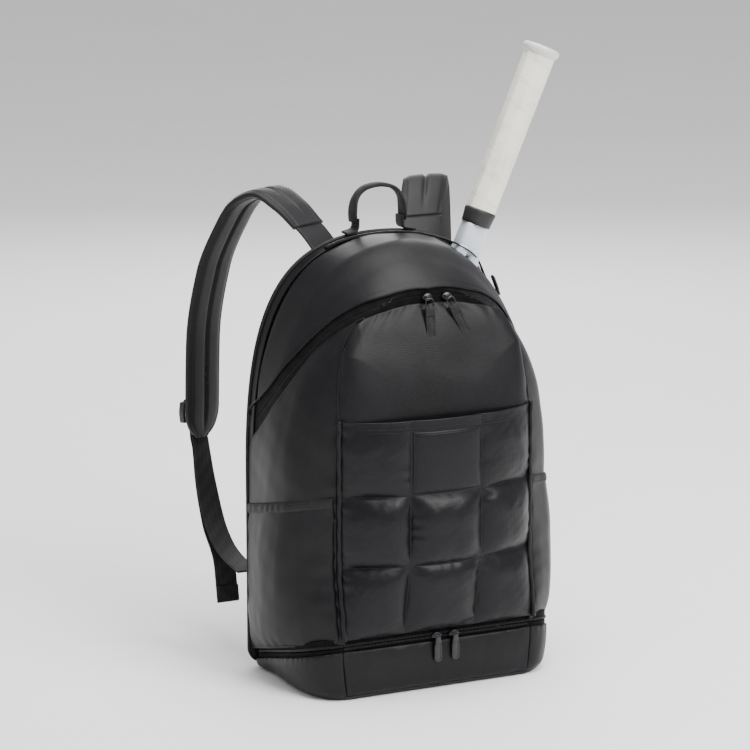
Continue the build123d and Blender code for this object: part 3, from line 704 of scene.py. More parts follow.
def lowered(P, depth, centre=(0, 20.0, 250.0)):
    """Grid moved inwards along its normals."""
    N = normals_of(P)
    N *= np.sign((N * (P - np.array(centre))).sum(-1, keepdims=True))
    return P - N * depth, N


ZIP_ROWS = 170
centre_of_bag = np.array([0, 20.0, 250.0])
low_P, _ = lowered(whole_strip(band_strip(-0.12, 0.495), ZIP_ROWS, 10), 2.2)
lid_tape = cloth_sheet("lid_zip_tape_cloth", low_P, 0.9, low_P - centre_of_bag)
dress(lid_tape, TAPE, None, ["lid_zip_tape", "lid_side_tapes"])
bend_with_lid(lid_tape)
high_P, _ = lowered(whole_strip(band_strip(0.505, 1.12), ZIP_ROWS, 10), 2.2)
hood_tape = cloth_sheet("hood_zip_tape_cloth", high_P, 0.9, high_P - centre_of_bag)
dress(hood_tape, TAPE, "bag", ["main_zip_tape"])


def coil(name, P_line, N_line, across, pitch=1.9, long=4.4, wide=1.0, high=1.3):
    """One side of a zip's coil: small bars across the line."""
    s = run_along(P_line)
    at = np.arange(pitch, s[-1] - pitch, pitch)
    points = look_up(at, s, P_line)
    ups = unit(look_up(at, s, N_line))
    sides = unit(look_up(at, s, across))
    return beads(name, points, sides, ups, (long, wide, high))


def zip_coils(prefix, low_grid, high_grid, N_low, N_high, lift):
    """Two coils along the facing edges of two tapes."""
    across_low = unit(low_grid[:, -1] - low_grid[:, -2])
    across_high = unit(high_grid[:, 0] - high_grid[:, 1])
    a = coil(
        prefix + "_coil_low", low_grid[:, -1] + N_low[:, -1] * lift - across_low * 0.9, N_low[:, -1],
        across_low,
    )
    b = coil(
        prefix + "_coil_high", high_grid[:, 0] + N_high[:, 0] * lift - across_high * 0.9, N_high[:, 0],
        across_high,
    )
    return a, b


low_P, low_N = lowered(whole_strip(band_strip(-0.12, 0.47), ZIP_ROWS, 8), 3.6)
high_P, high_N = lowered(whole_strip(band_strip(0.53, 1.12), ZIP_ROWS, 8), 3.6)
coil_low, coil_high = zip_coils("main_zip", low_P, high_P, low_N, high_N, 0.5)
dress(coil_low, COIL, None, [])
bend_with_lid(coil_low)
dress(coil_high, COIL, "bag", [])


# ---------------------------------------------------------------- side skins, from shoe zip to main zip
def side_grid(side, rows, cols):
    """Side cloth: rows go up, columns go back from the front seam."""
    q = np.linspace(0.055, 0.792, rows)
    end = np.where(q < ZIP_LOW[0, 0], -146.0, zip_edge(ZIP_LOW, np.clip(q, ZIP_LOW[0, 0], 1)))
    t = np.linspace(0, 1, cols)[None, :]
    v = np.minimum(end, -0.3)[:, None] * t
    P = both_sides(np.repeat(q[:, None], cols, 1), v, side)
    return q, P


def side_skin(name, side):
    P = side_grid(side, 190, 64)[1]
    z, y = P[..., 2], P[..., 1]
    # the lower edge follows the sloping shoe zip
    line = shoe_line(y) + BAND - 1
    low = P[0:1, :, 2]
    z_new = np.where(z < 230, line + (230 - line) * (z - low) / (230 - low), z)
    P = np.stack([P[..., 0], y, z_new], -1)
    # front seam leans forward towards the base
    lean = -11.0 * smooth(147, 70, P[..., 2]) * smooth(-10, -64, y)
    P[..., 1] += lean
    N = normals_of(P)
    N *= np.sign((N[..., 0] * side).sum())
    # filled, with a soft belly and folds that run in from the seams
    col = np.linspace(0, 1, P.shape[1])[None, :]
    belly = 3.0 * np.sin(math.pi * col) ** 0.8 * smooth(420, 330, P[..., 2])
    pucker = np.exp(-col / 0.045) * (0.9 * np.sin(P[..., 2] / 4.2 + 2.3 * np.sin(P[..., 2] / 17.0)) - 0.4)
    seam_dip = -1.8 * np.exp(-((col) / 0.02) ** 2)
    P = P + N * (belly + pucker + seam_dip)[..., None]
    P = soften(P, 1.6, 110, 11 if side < 0 else 12, edge_rows=5, edge_cols=5)
    skin = cloth_sheet(name, P, 1.6, np.array([side, 0, 0]))
    return skin, P


for word, side in SIDES.items():
    skin, P = side_skin(f"side_skin_{word}", side)
    dress(skin, SHELL, None, [f"side_panel_{word}", f"lid_gusset_{word}"])
    bend_with_lid(skin)


# ---------------------------------------------------------------- front: lid panel
q_edge = np.linspace(0.40, 1.0, 500)
seam_v = -4.0 - 5.0 * smooth(0.60, 0.76, q_edge)
edge_line = on_bag(q_edge, np.maximum(zip_edge(ZIP_LOW, np.clip(q_edge, 0.44, 1)), seam_v))
PANEL_LOW = 292.0


def lid_panel_grid(rows=120, cols=150):
    """Lid panel as level rows that narrow with the outline, the top row squeezed along the crown."""
    t = np.linspace(0, 1, rows)
    z_side = edge_line[:, 2]
    u = np.linspace(-1, 1, cols)
    grid = np.zeros((rows, cols, 3))
    for i, a in enumerate(t):
        # arc that starts on the left outline, crowns and ends on the right outline
        z_edge = PANEL_LOW + (372.0 - PANEL_LOW) * a
        half = float(np.interp(z_edge, z_side, edge_line[:, 0]))
        crown = edge_line[edge_line[:, 2] >= 372.0]
        top_x = np.concatenate([-crown[:, 0], crown[::-1, 0]])
        top_z = np.concatenate([crown[:, 2], crown[::-1, 2]])
        s = np.concatenate([[0], np.cumsum(np.hypot(np.diff(top_x), np.diff(top_z)))])
        at = (u + 1) / 2 * s[-1]
        tx, tz = np.interp(at, s, top_x), np.interp(at, s, top_z)
        span = float(np.interp(372.0, z_side, edge_line[:, 0]))
        rise = (tz - 372.0) * a**1.15
        grid[i, :, 0] = tx * (half / span) * a + half * u * (1 - a)
        grid[i, :, 2] = z_edge + rise
    grid[..., 1] = front_plane_y(grid[..., 2])
    back = np.interp(grid[..., 2], z_side, edge_line[:, 1] - front_plane_y(z_side))
    grid[..., 1] += back * np.abs(u) ** 14
    return grid


lid_P = lid_panel_grid()
edge_gap = np.minimum.reduce([
    np.linspace(-1, 1, lid_P.shape[1])[None, :] * 0 + (
        1 - np.abs(np.linspace(-1, 1, lid_P.shape[1]))
    )[None, :] * 113 + 0 * lid_P[..., 0],
    (1 - np.linspace(0, 1, lid_P.shape[0]))[:, None] * 115 + 0 * lid_P[..., 0],
])
swell = 15.0 * (1 - np.exp(-edge_gap / 16.0))
x, z = lid_P[..., 0], lid_P[..., 2]
swell = swell * (0.55 + 0.45 * smooth(415, 330, z))
pull_in = np.exp(-edge_gap / 5.0)
pucker = pull_in * 0.8 * np.sin((z + 1.3 * np.abs(x)) / 3.6 + 2.0 * np.sin((z - x) / 15.0))
lid_P[..., 1] -= swell + pucker
lid_P = soften(lid_P, 1.5, 130, 21, edge_rows=4, edge_cols=6)
lid_cloth = cloth_sheet("lid_panel_cloth", lid_P, 2.0, np.array([0, -1.0, 0.1]))
dress(lid_cloth, SHELL, None, ["lid_panel"])
bend_with_lid(lid_cloth)

# rolled seam where the lid panel meets the side cloth
for_seam = edge_line[(edge_line[:, 2] > 294) & (q_edge < 0.80)]
seam_left = for_seam * np.array([-1, 1, 1]) + np.array([0.5, -1.0, 0])
seam_right = for_seam + np.array([-0.5, -1.0, 0])
seam_pair = [
    tube("lid_seam_a", resample(seam_left, 90), 1.5, 8),
    tube("lid_seam_b", resample(seam_right, 90), 1.5, 8),
]
lid_seam = joined("lid_seam_piping", seam_pair)
dress(lid_seam, SHELL, None, ["lid_piping"])
bend_with_lid(lid_seam)


# ---------------------------------------------------------------- quilted pocket
POCKET_LOW = 69.0
COLUMNS = [-SEAM_X, -42.0, 42.0, SEAM_X]
ROWS_Z = [POCKET_LOW, 147.0, 225.0, HEM_Z]


def seam_y(z):
    """Depth of the front side seams at height z."""
    return FRONT_Y - 12.0 * smooth(147, 66, z)


def pocket_base(x, z):
    bulge = 31.0 * smooth(58, 165, z)
    return seam_y(z) - bulge * (1 - np.clip(np.abs(x) / SEAM_X, 0, 1) ** 2.1)


def cell_share(value, stops):
    """Which cell a value lies in, and how far through it, 0 to 1."""
    stops = np.array(stops)
    i = np.clip(np.searchsorted(stops, value, side="right") - 1, 0, len(stops) - 2)
    return i, (value - stops[i]) / (stops[i + 1] - stops[i]), stops[i + 1] - stops[i]


def quilt_height(x, z):
    """Puff of the quilted cells, with puckers running in from the stitched lines."""
    ci, cu, cw = cell_share(x, COLUMNS)
    ri, ru, rw = cell_share(z, ROWS_Z)
    gx = np.minimum(cu, 1 - cu) * cw
    gz = np.minimum(ru, 1 - ru) * rw
    top_middle = (ci == 1) & (ri == 2)
    top_row = ri == 2
    # the pocket's upper hem and the flat patch stay smooth
    gz = np.where(top_row & (ru > 0.5), 60.0, gz)
    dome_x, dome_z = (1 - (1 - np.clip(g / 34.0, 0, 1)) ** 2.6 for g in (gx, gz))
    height = 11.5 * (dome_x * dome_z) ** 0.85
    amount = np.where(top_middle, 0.25, np.where(top_row, 0.75, 1.0))
    amount = np.where(top_row, amount * (1 - 0.5 * smooth(0.55, 1.0, ru)), amount)
    random = np.sin(ci * 3.1 + ri * 5.7)
    px = np.exp(-gx / 7.0) * np.sin(
        z / 2.7 + 2.4 * np.sin(z / 11.0 + random * 3) + ci
    ) * (1 - np.exp(-gx / 1.2))
    pz = np.exp(-gz / 7.0) * np.sin(
        x / 2.9 + 2.2 * np.sin(x / 12.0 + random * 2) + ri
    ) * (1 - np.exp(-gz / 1.2))
    uneven = 0.55 + 0.45 * np.sin(0.045 * x + 0.061 * z + 2.0 * np.sin(z / 37.0))
    return height * amount + 0.95 * uneven * (px + 0.6 * pz) * np.where(top_middle, 0.15, 1.0)


def pocket_grid(rows=300, cols=290):
    x = np.linspace(-SEAM_X, SEAM_X, cols)
    z = np.linspace(POCKET_LOW, HEM_Z - 1, rows)
    X, Z = np.meshgrid(x, z)
    P = np.stack([X, pocket_base(X, Z), Z], -1)
    N = normals_of(P)
    N *= np.sign((N * np.array([0, -1.0, 0])).sum(-1, keepdims=True))
    P = P + N * quilt_height(X, Z)[..., None]
    P = P + N * (
        (ripple(P, 60, 31) * 1.0 + ripple(P, 22, 33) * 0.35) * smooth(1.0, 6.0, quilt_height(X, Z))
    )[..., None]
    return P


pocket_P = pocket_grid()
pocket = cloth_sheet("quilted_pocket_cloth", pocket_P, 2.2, np.array([0, -1.0, 0]))
dress(pocket, QUILT, "bag", ["quilted_pocket", "pocket_hem"])


def pocket_line(points, lift=0.2):
    """Points (x, z) carried onto the pocket's surface."""
    points = np.asarray(points, float)
    x, z = points[:, 0], points[:, 1]
    P = np.stack([x, pocket_base(x, z) - quilt_height(x, z) - lift, z], -1)
    return P


rows_of_stitches = []
for z in (147.0, 225.0):
    line = pocket_line([(x, z) for x in np.linspace(-111, 111, 120)])
    rows_of_stitches.append(stitch_row("s", line, (0, -1, 0), 3.4, 2.3))
for x in (-42.0, 42.0):
    line = pocket_line([(x, z) for z in np.linspace(71, 304, 120)])
    rows_of_stitches.append(stitch_row("s", line, (0, -1, 0), 3.4, 2.3))
for z in (296.0, 299.5):
    line = pocket_line([(x, z) for x in np.linspace(-111, 111, 120)], 0.3)
    rows_of_stitches.append(stitch_row("s", line, (0, -1, 0), 3.4, 2.4))
PATCH_HALF, PATCH_LOW, PATCH_HIGH = 38.5, 229.0, 293.0
upright = np.linspace(PATCH_LOW, PATCH_HIGH, 20)
for path in (
    [(-PATCH_HALF, z) for z in upright],
    [(PATCH_HALF, z) for z in upright],
    [(x, PATCH_LOW) for x in np.linspace(-PATCH_HALF, PATCH_HALF, 20)],
):
    rows_of_stitches.append(stitch_row("s", pocket_line(path, 0.5), (0, -1, 0), 3.0, 2.2))
stitches = joined("pocket_stitching", rows_of_stitches)
dress(stitches, THREAD, "bag", [])

# smooth patch on the middle of the pocket
PX, PZ = np.meshgrid(np.linspace(-40, 40, 60), np.linspace(227.5, 294.5, 50))
patch_P = np.stack([PX, pocket_base(PX, PZ) - quilt_height(PX, PZ) - 0.7, PZ], -1)
edge = np.minimum.reduce([PX + 40, 40 - PX, PZ - 227.5, 294.5 - PZ])
patch_P[..., 1] -= 0.9 * (1 - np.exp(-edge / 2.0)) - 0.5 * np.exp(-(((edge - 1.6) / 0.8) ** 2))
patch = cloth_sheet("pocket_patch_cloth", patch_P, 1.0, np.array([0, -1.0, 0]))
dress(patch, QUILT, "bag", ["pocket_patch"])

# wall between the pocket and the main compartment
WX, WZ = np.meshgrid(np.linspace(-SEAM_X + 1, SEAM_X - 1, 40), np.linspace(POCKET_LOW, HEM_Z - 6, 40))
wall_P = np.stack([WX, -61.5 + 0 * WX, WZ], -1)
wall = cloth_sheet("front_wall_cloth", soften(wall_P, 0.8, 90, 41), 1.5, np.array([0, -1.0, 0]))
dress(wall, LINING, "bag", ["front_panel"])

# front side seams, rolled edge
seam_pieces = []
for word, side in SIDES.items():
    z = np.linspace(POCKET_LOW, HEM_Z, 110)
    wobble = 0.35 * np.sin(z / 4.0 + side)
    path = np.stack([side * (SEAM_X + 0.6 + wobble), seam_y(z) - 2.0, z], -1)
    seam_pieces.append(tube("seam", path, 2.5, 10))
front_seams = joined("front_seam_piping", seam_pieces)
dress(front_seams, SHELL, "bag", ["front_piping"])


# ---------------------------------------------------------------- side pockets
HEM_FRONT, HEM_BACK = 225.0, 189.0


def hem_line(y):
    return HEM_FRONT + (HEM_BACK - HEM_FRONT) * (y - FRONT_Y) / (BACK_Y - FRONT_Y)


def pocket_side_grid(side, low, high, rows, cols, proud):
    """Cloth outside the side skin between two shares of the pocket's height, 0 at shoe zip, 1 at hem."""
    y = np.linspace(-61.0, 78.5, cols)
    t = np.linspace(low, high, rows)[:, None]
    foot, top = shoe_line(y) + BAND + 1, hem_line(y)
    z = foot + (top - foot) * t
    q = ARCH_START * z / SPRING_Z
    P = shell_point(q, y + 0 * z)
    share = np.linspace(0, 1, cols)[None, :]
    # lean of the front seam towards the base
    P[..., 1] += -11.0 * smooth(147, 70, P[..., 2]) * smooth(-10, -64, P[..., 1])
    P[..., 0] += (
        proud + (
            4.5 * np.sin(math.pi * t) ** 0.8 + 8.0 * (1 - t) ** 0.8 * (1 - np.exp(-t / 0.07))
        ) * (1 - 0.4 * share)
    ) * np.sin(math.pi * share) ** 0.45
    P[..., 0] *= side
    return P, share, t


for word, side in SIDES.items():
    P, share, t = pocket_side_grid(side, 0.0, 0.965, 110, 100, 3.6)
    belly = 3.2 * np.sin(math.pi * share) ** 0.8 * np.sin(math.pi * np.clip(t, 0, 1) ** 1.1) ** 0.7
    z = P[..., 2]
    folds = np.exp(-share / 0.05) * 0.8 * np.sin(z / 4.0 + 2 * np.sin(z / 19))
    folds = folds + np.exp(-(1 - share) / 0.06) * 0.7 * np.sin(z / 5.0)
    foot = np.exp(-t / 0.05) * 0.6 * np.sin(P[..., 1] / 3.6 + 2 * np.sin(P[..., 1] / 14))
    P[..., 0] += side * (belly + folds + foot)
    P = soften(P, 1.3, 85, 51 if side < 0 else 52, edge_rows=6, edge_cols=6)
    cloth = cloth_sheet(f"side_pocket_cloth_{word}", P, 1.3, np.array([side, 0, 0]))
    dress(cloth, SHELL, "bag", [f"side_pocket_{word}"])

hem_parts, stitch_parts = [], []
for word, side in SIDES.items():
    P, share, t = pocket_side_grid(side, 0.93, 1.0, 14, 150, 4.4)
    y = P[..., 1]
    gathers = 0.45 * np.sin(y / 2.3 + 1.9 * np.sin(y / 13.0)) * np.sin(
        math.pi * np.clip((t - 0.93) / 0.07, 0, 1)
    )
    roundness = 1.5 * np.sin(math.pi * np.clip((t - 0.93) / 0.07, 0, 1)) ** 0.5
    P[..., 0] += side * (gathers + roundness)
    hem_parts.append(cloth_sheet("hem", P, 2.2, np.array([side, 0, 0])))
    for row in (3, 10):
        line = P[row, 2:-2] + np.array([side * 0.2, 0, 0])
        stitch_parts.append(stitch_row("st", line, (side, 0, 0), 3.4, 2.3))
hems = joined("side_pocket_hem_cloth", hem_parts)
dress(hems, BINDING, "bag", ["side_pocket_hems"])
dress(joined("side_hem_stitching", stitch_parts), THREAD, "bag", [])


# ---------------------------------------------------------------- base, with its shoe zip
BASE_HALF = 154.0


def base_plan(t, inset=0.0):
    """Outline of the base from the middle of the front (0) round the left or right side to the back (1)."""
    front, side, back = BASE_Y + inset, BASE_HALF - inset, BACK_Y - 2
    a = np.linspace(0, 1, 60)
    u = 1 - a
    p0, p1, p2, p3 = (
        np.array(p) for p in ((SEAM_X, front), (SEAM_X + 26, front + 2), (side, -45.0), (side, 0.0))
    )
    curve = (u**3)[:, None] * p0 + (3 * u * u * a)[:, None] * p1 + (3 * u * a * a)[:, None] * p2 + (a**3)[
        :, None
    ] * p3
    line = np.concatenate([[[0, front]], curve, [[side, back - 10]], [[side - 3, back - 2]]])
    s = run_along(line)
    at = np.asarray(t) * s[-1]
    return np.stack([np.interp(at, s, line[:, 0]), np.interp(at, s, line[:, 1])], -1), s[-1]


def base_band(low, high, rows, cols, span=(0.0, 1.0), inset=0.0):
    """Right half of a band round the base; low and high give heights from depth y."""
    plan, _ = base_plan(np.linspace(*span, cols), inset)
    t = np.linspace(0, 1, rows)[:, None]
    lo, hi = low(plan[:, 1]), high(plan[:, 1])
    z = lo + (hi - lo) * t
    x = plan[:, 0] + 0 * z
    y = plan[:, 1] + 0 * z
    tuck = 4.0 * (1 - np.clip(z / 12.0, 0, 1)) ** 2
    lean = 7.0 * (1 - np.clip(z / 52.0, 0, 1)) ** 1.3 * smooth(76, 30, y)
    x = x - (tuck + lean) * (x / BASE_HALF)
    y = y + tuck * smooth(60, -70, y)
    return np.stack([x, y, z], -1)


def full_band(P):
    """Right half and its mirror image joined at the middle of the front."""
    left = P[:, ::-1].copy()
    left[..., 0] *= -1
    return np.concatenate([left[:, :-1], P], 1)


def push_out(P, height):
    """Move band points outwards in plan."""
    along = unit(np.gradient(P, axis=1))
    out = unit(np.stack([along[..., 1], -along[..., 0], 0 * along[..., 0]], -1))
    return P + out * height[..., None]


FLAP_SHARE = SEAM_X / base_plan(0)[1]
base_outward = np.array([0, 40.0, 30.0])

# front flap
P = full_band(
    base_band(lambda y: 0 * y + 4.6, lambda y: shoe_line(y) - BAND + 1, 40, 90, (0, FLAP_SHARE * 0.995))
)
x, z = P[..., 0], P[..., 2]
t = (z - 4.6) / (z.max() - 4.6)
swell = 4.0 * np.sin(math.pi * np.clip(t, 0, 1)) ** 0.6 * (1 - np.abs(x / SEAM_X) ** 6)
swell = swell + 0.5 * np.exp(-(1 - t) / 0.07) * np.sin(x / 3.4 + 2 * np.sin(x / 15))
swell = swell + 0.35 * np.exp(-t / 0.07) * np.sin(x / 4.1)
P = soften(push_out(P, swell), 0.9, 60, 61, edge_rows=4, edge_cols=4)
flap = cloth_sheet("shoe_flap_cloth", P, 2.2, P - base_outward)
dress(flap, SHELL, "shoe_flap", ["shoe_flap"])

# sides of the base
for word, side in SIDES.items():
    P = base_band(lambda y: 0 * y + 3.6, lambda y: shoe_line(y) - BAND + 1, 34, 90, (FLAP_SHARE, 1.0))
    t = np.linspace(0, 1, 34)[:, None] + 0 * P[..., 0]
    c = np.linspace(0, 1, 90)[None, :] + 0 * P[..., 0]
    swell = 2.6 * np.sin(math.pi * t) ** 0.6 * np.sin(math.pi * c) ** 0.3
    swell = swell + 0.5 * np.exp(-(1 - t) / 0.1) * np.sin(c * 110 + 2 * np.sin(c * 21))
    P = push_out(P, swell)
    P[..., 0] *= side
    P = soften(P, 0.8, 60, 63, edge_rows=4, edge_cols=4)
    cloth = cloth_sheet(f"base_side_cloth_{word}", P, 2.2, P - base_outward)
    dress(cloth, SHELL, "bag", [f"base_side_{word}"])

# zip tapes round the base, with their coils
lower = full_band(
    base_band(
        lambda y: shoe_line(y) - BAND - 1.5, lambda y: shoe_line(y) - 0.9, 6, 90, (0, FLAP_SHARE), 2.2
    )
)
dress(
    cloth_sheet("flap_zip_cloth", lower, 0.9, lower - base_outward), TAPE, "shoe_flap", ["flap_zip_tape"],
)
upper = full_band(
    base_band(lambda y: shoe_line(y) + 0.9, lambda y: shoe_line(y) + BAND + 2.5, 6, 150, (0, 0.98), 2.2)
)
dress(
    cloth_sheet("shoe_zip_cloth", upper, 0.9, upper - base_outward), TAPE, "bag", ["shoe_zip_tape"],
)
side_tapes = []
for side in SIDES.values():
    P = base_band(
        lambda y: shoe_line(y) - BAND - 1.5, lambda y: shoe_line(y) - 0.9, 6, 90, (FLAP_SHARE, 0.98), 2.2
    )
    P[..., 0] *= side
    side_tapes.append(cloth_sheet("tape", P, 0.9, P - base_outward))
dress(joined("shoe_zip_side_cloth", side_tapes), TAPE, "bag", ["shoe_zip_side_tapes"])


def plan_normals(P):
    along = unit(np.gradient(P, axis=0))
    return unit(np.stack([along[..., 1], -along[..., 0], 0 * along[..., 0]], -1))


def shoe_coil(name, offset, span, body):
    line = full_band(
        base_band(lambda y: shoe_line(y) + offset, lambda y: shoe_line(y) + offset, 2, 200, span, 1.9)
    )[0]
    up = plan_normals(line)
    if (up * (line - base_outward)).sum() < 0:
        up = -up
    across = np.broadcast_to(np.array([0, 0, 1.0]), line.shape)
    dress(coil(name, line + up * 0.4, up, across, 1.7, 3.2, 0.9, 1.1), COIL, body, [])


shoe_coil("flap_zip_coil", -1.9, (0, FLAP_SHARE), "shoe_flap")
shoe_coil("shoe_zip_coil", 1.9, (0, 0.97), "bag")

# cloth edges stitched beside the zips
edge_rows = []
for offset in (BAND + 2.2, -BAND - 0.8):
    span = (0, 0.97) if offset > 0 else (0, FLAP_SHARE * 0.98)
    line = full_band(
        base_band(lambda y: shoe_line(y) + offset, lambda y: shoe_line(y) + offset, 2, 160, span, 0)
    )[0]
    up = plan_normals(line)
    if (up * (line - base_outward)).sum() < 0:
        up = -up
    edge_rows.append((line, up, offset))
line, up, _ = edge_rows[1]
dress(stitch_row("flap_stitching", line + up * 1.4, up, 3.6, 2.4), THREAD, "shoe_flap", [])

# bottom panel and the floor inside
plan, _ = base_plan(np.linspace(0, 1, 90), 1.5)
plan[:, 0] *= 1 - (2.0 + 8.5 * smooth(76, 30, plan[:, 1])) / BASE_HALF
ring = np.concatenate([plan, (plan * np.array([-1, 1]))[::-1]])
rings = []
for share, z in ((1.0, 3.8), (0.992, 1.4), (0.975, 0.5), (0.94, 0.3), (0.5, 0.6), (0.02, 0.6)):
    middle = np.array([0, 5.0])
    rings.append(np.column_stack([middle + (ring - middle) * share, np.full(len(ring), z)]))
P = np.array(rings)
P[..., 2] += 0.15 * (ripple(P, 40, 71) + 1)
bottom = cloth_sheet("base_panel_cloth", P, 1.4, np.array([0, 0, -1.0]))
dress(bottom, PAD, "bag", ["base_panel"])

FX, FY = np.meshgrid(np.linspace(-140, 140, 30), np.linspace(-64, 74, 20))
P = np.stack(
    [
        FX * (1 - 0.12 * smooth(0, -64, FY)), FY,
        shoe_line(FY) + 3.5 + 0.8 * ripple(np.stack([FX, FY, 0 * FX], -1), 90, 5),
    ],
    -1,
)
floor_cloth = cloth_sheet("shoe_floor_cloth", P, 1.5, np.array([0, 0, 1.0]))
dress(floor_cloth, LINING, "bag", ["shoe_floor"])


# ---------------------------------------------------------------- back
def arch_outline(half, top, low, count):
    """Right half of an arch outline from the foot to the top."""
    t = np.linspace(0, 1, count)
    bx, bz = arch(t)
    side = np.column_stack([np.full(30, half), np.linspace(low, SPRING_Z, 30)])
    head = np.column_stack([half * bx, SPRING_Z + (top - SPRING_Z) * bz])
    line = np.concatenate([side, head[1:]])
    s = run_along(line)
    at = np.linspace(0, s[-1], count)
    return np.stack([np.interp(at, s, line[:, 0]), np.interp(at, s, line[:, 1])], -1)


def arch_sheet(name, half, top, low, y, thick, amount, seed, outward_y):
    edge = arch_outline(half, top, low, 70)
    if low < 20:
        edge[:, 0] -= 16 * np.clip(1 - (edge[:, 1] - low) / 16, 0, 1) ** 2
    cols = np.linspace(-1, 1, 80)
    P = np.stack([edge[:, :1] * cols, np.full((len(edge), 80), y), edge[:, 1:] + 0 * cols], -1)
    P = soften(P, amount, 110, seed, edge_rows=4, edge_cols=4)
    return cloth_sheet(name, P, thick, np.array([0, outward_y, 0]))


dress(
    arch_sheet("back_panel_cloth", 157.2, 479.0, 4.0, 79.2, 2.6, 0.5, 81, 1.0), MESH, "bag",
    ["back_panel"],
)
dress(
    arch_sheet("racket_divider_cloth", 146.0, 473.0, 74.0, 39.0, 1.2, 0.7, 82, -1.0), LINING, "bag",
    ["racket_divider"],
)

outline = arch_outline(158.6, 480.6, 26.0, 90)
outline = np.concatenate([outline, (outline * np.array([-1, 1]))[::-1][1:]])
foot = np.array([[158.6, 22.0], [153.0, 10.0], [140.0, 5.0], [100.0, 4.0], [0.0, 4.0]])
closed = np.concatenate([(foot[::-1] * np.array([1, 1]))[:-1], outline, foot * np.array([-1, 1])])
# round the outline from the middle of the foot up the right side, over the top and back
path = resample(np.column_stack([closed[:, 0], np.full(len(closed), 80.4), closed[:, 1]]), 420)
side_dir, up_dir = transported(path, np.array([0, 1.0, 0]))
a = np.linspace(0, 2 * math.pi, 10, endpoint=False)
piping = sweep("back_seam_piping", path, side_dir, up_dir, np.stack([2.3 * np.cos(a), 2.1 * np.sin(a)], -1))
dress(piping, BINDING, "bag", ["back_piping"])

# foam pads on the back, with channels
for word, side in SIDES.items():
    X, Z = np.meshgrid(np.linspace(-52, 52, 70), np.linspace(70, 420, 170))
    corner = 24.0
    ex, ez = np.clip(np.abs(X) - (52 - corner), 0, None), np.clip(np.abs(Z - 245) - (175 - corner), 0, None)
    far = np.hypot(ex, ez)
    scale = np.where(far > corner, corner / np.maximum(far, 1e-6), 1)
    Xr = np.sign(X) * (np.minimum(np.abs(X), 52 - corner) + ex * scale)
    Zr = 245 + np.sign(Z - 245) * (np.minimum(np.abs(Z - 245), 175 - corner) + ez * scale)
    gap = corner - np.hypot(
        np.clip(np.abs(Xr) - (52 - corner), 0, None), np.clip(np.abs(Zr - 245) - (175 - corner), 0, None)
    )
    gap = np.minimum(gap, np.minimum(52 - np.abs(Xr), 175 - np.abs(Zr - 245)))
    rise = 8.6 * (1 - np.exp(-np.clip(gap, 0, None) / 7.0))
    for z_line in (150.0, 245.0, 340.0):
        rise = rise - 4.8 * np.exp(-(((Zr - z_line - 0.0012 * Xr**2) / 4.5) ** 2)) * smooth(0, 14, gap)
    P = np.stack([Xr + side * 68, 80.5 + rise, Zr], -1)
    P = soften(P, 0.5, 45, 91, edge_rows=3, edge_cols=3)
    pad = cloth_sheet(f"back_pad_{word}", P, 1.2, np.array([0, 1.0, 0]))
    dress(pad, MESH, "bag", ["back_pads"])


# ---------------------------------------------------------------- carry handle
HANDLE_Y = 84.0
HANDLE_LINE = [(-30.0, 491.5), (-30.1, 500.0), (-28.9, 512.0), (-23.5, 523.0), (-13.0, 529.6), (0, 531.4)]
loop = np.array([[x, HANDLE_Y, z] for x, z in HANDLE_LINE])
loop = np.concatenate([loop, (loop * np.array([-1, 1, 1]))[::-1][1:]])
loop = resample(loop, 90)
T = unit(np.gradient(loop, axis=0))
up = np.stack([-T[:, 2], 0 * T[:, 0], T[:, 0]], -1)
section = rounded_box(10.0, 1.5, 1.3)
share = np.linspace(-1, 1, len(loop))
sections = []
for a in share:
    fold = 1 - 0.42 * smooth(0.80, 0.45, abs(a)) - 0.15 * smooth(0.90, 0.99, abs(a))
    body = section.copy()
    body[:, 0] *= fold
    body[:, 1] *= 1 + 0.9 * (1 - fold)
    sections.append(body)
handle = sweep("carry_handle_webbing", loop, np.array([0, 1.0, 0]), up, sections)
dress(handle, WEBBING, "carry_handle", ["carry_handle"])
HANDLE_ROOT = [(26.6, 0, 496.0), (26.8, 0, 488.0), (28.4, 0, 483.4), (33.5, 1, 481.6), (41.0, 3, 480.6)]
roots = []
for side in SIDES.values():
    line = np.array([[side * x, HANDLE_Y - back, z] for x, back, z in HANDLE_ROOT])
    line = resample(line, 30)
    T = unit(np.gradient(line, axis=0))
    up = np.stack([-T[:, 2], 0 * T[:, 0], T[:, 0]], -1)
    roots.append(sweep("root", line, np.array([0, 1.0, 0]), up, rounded_box(9.0, 1.3, 1.1)))
dress(joined("handle_tab_webbing", roots), WEBBING, "bag", ["handle_tabs"])


# ---------------------------------------------------------------- shoulder straps
PAD_LINE = [(34, 487), (57, 508), (83, 521.5), (108, 511), (130, 479), (151, 430), (165, 350), (168, 236)]
STRAPS = {
    "left": {
        "out": np.array([-0.667, 0.745, 0]), "wide": np.array([0.88, 0.475, 0]), "web_x": -157.0, "side": -1
    },
    "right": {"out": np.array([0.5, 0.866, 0]), "wide": np.array([1.0, 0, 0]), "web_x": 138.0, "side": 1},
}


def pad_section(half, thick, groove):
    """Section of a padded strap: bound edges, soft faces and a channel along the middle of each face."""
    points = []
    a = np.linspace(-1, 1, 33)
    for sign in (1, -1):
        across = a if sign > 0 else -a
        for w in across:
            edge = (1 - abs(w)) * half
            height = thick * (1 - math.exp(-edge / 4.5)) * 0.94 + 1.5
            height -= groove * math.exp(-((w * half / 2.6) ** 2))
            height -= 0.9 * math.exp(-(((edge - 4.2) / 1.1) ** 2))
            points.append((w * half, sign * height))
    return np.array(points)


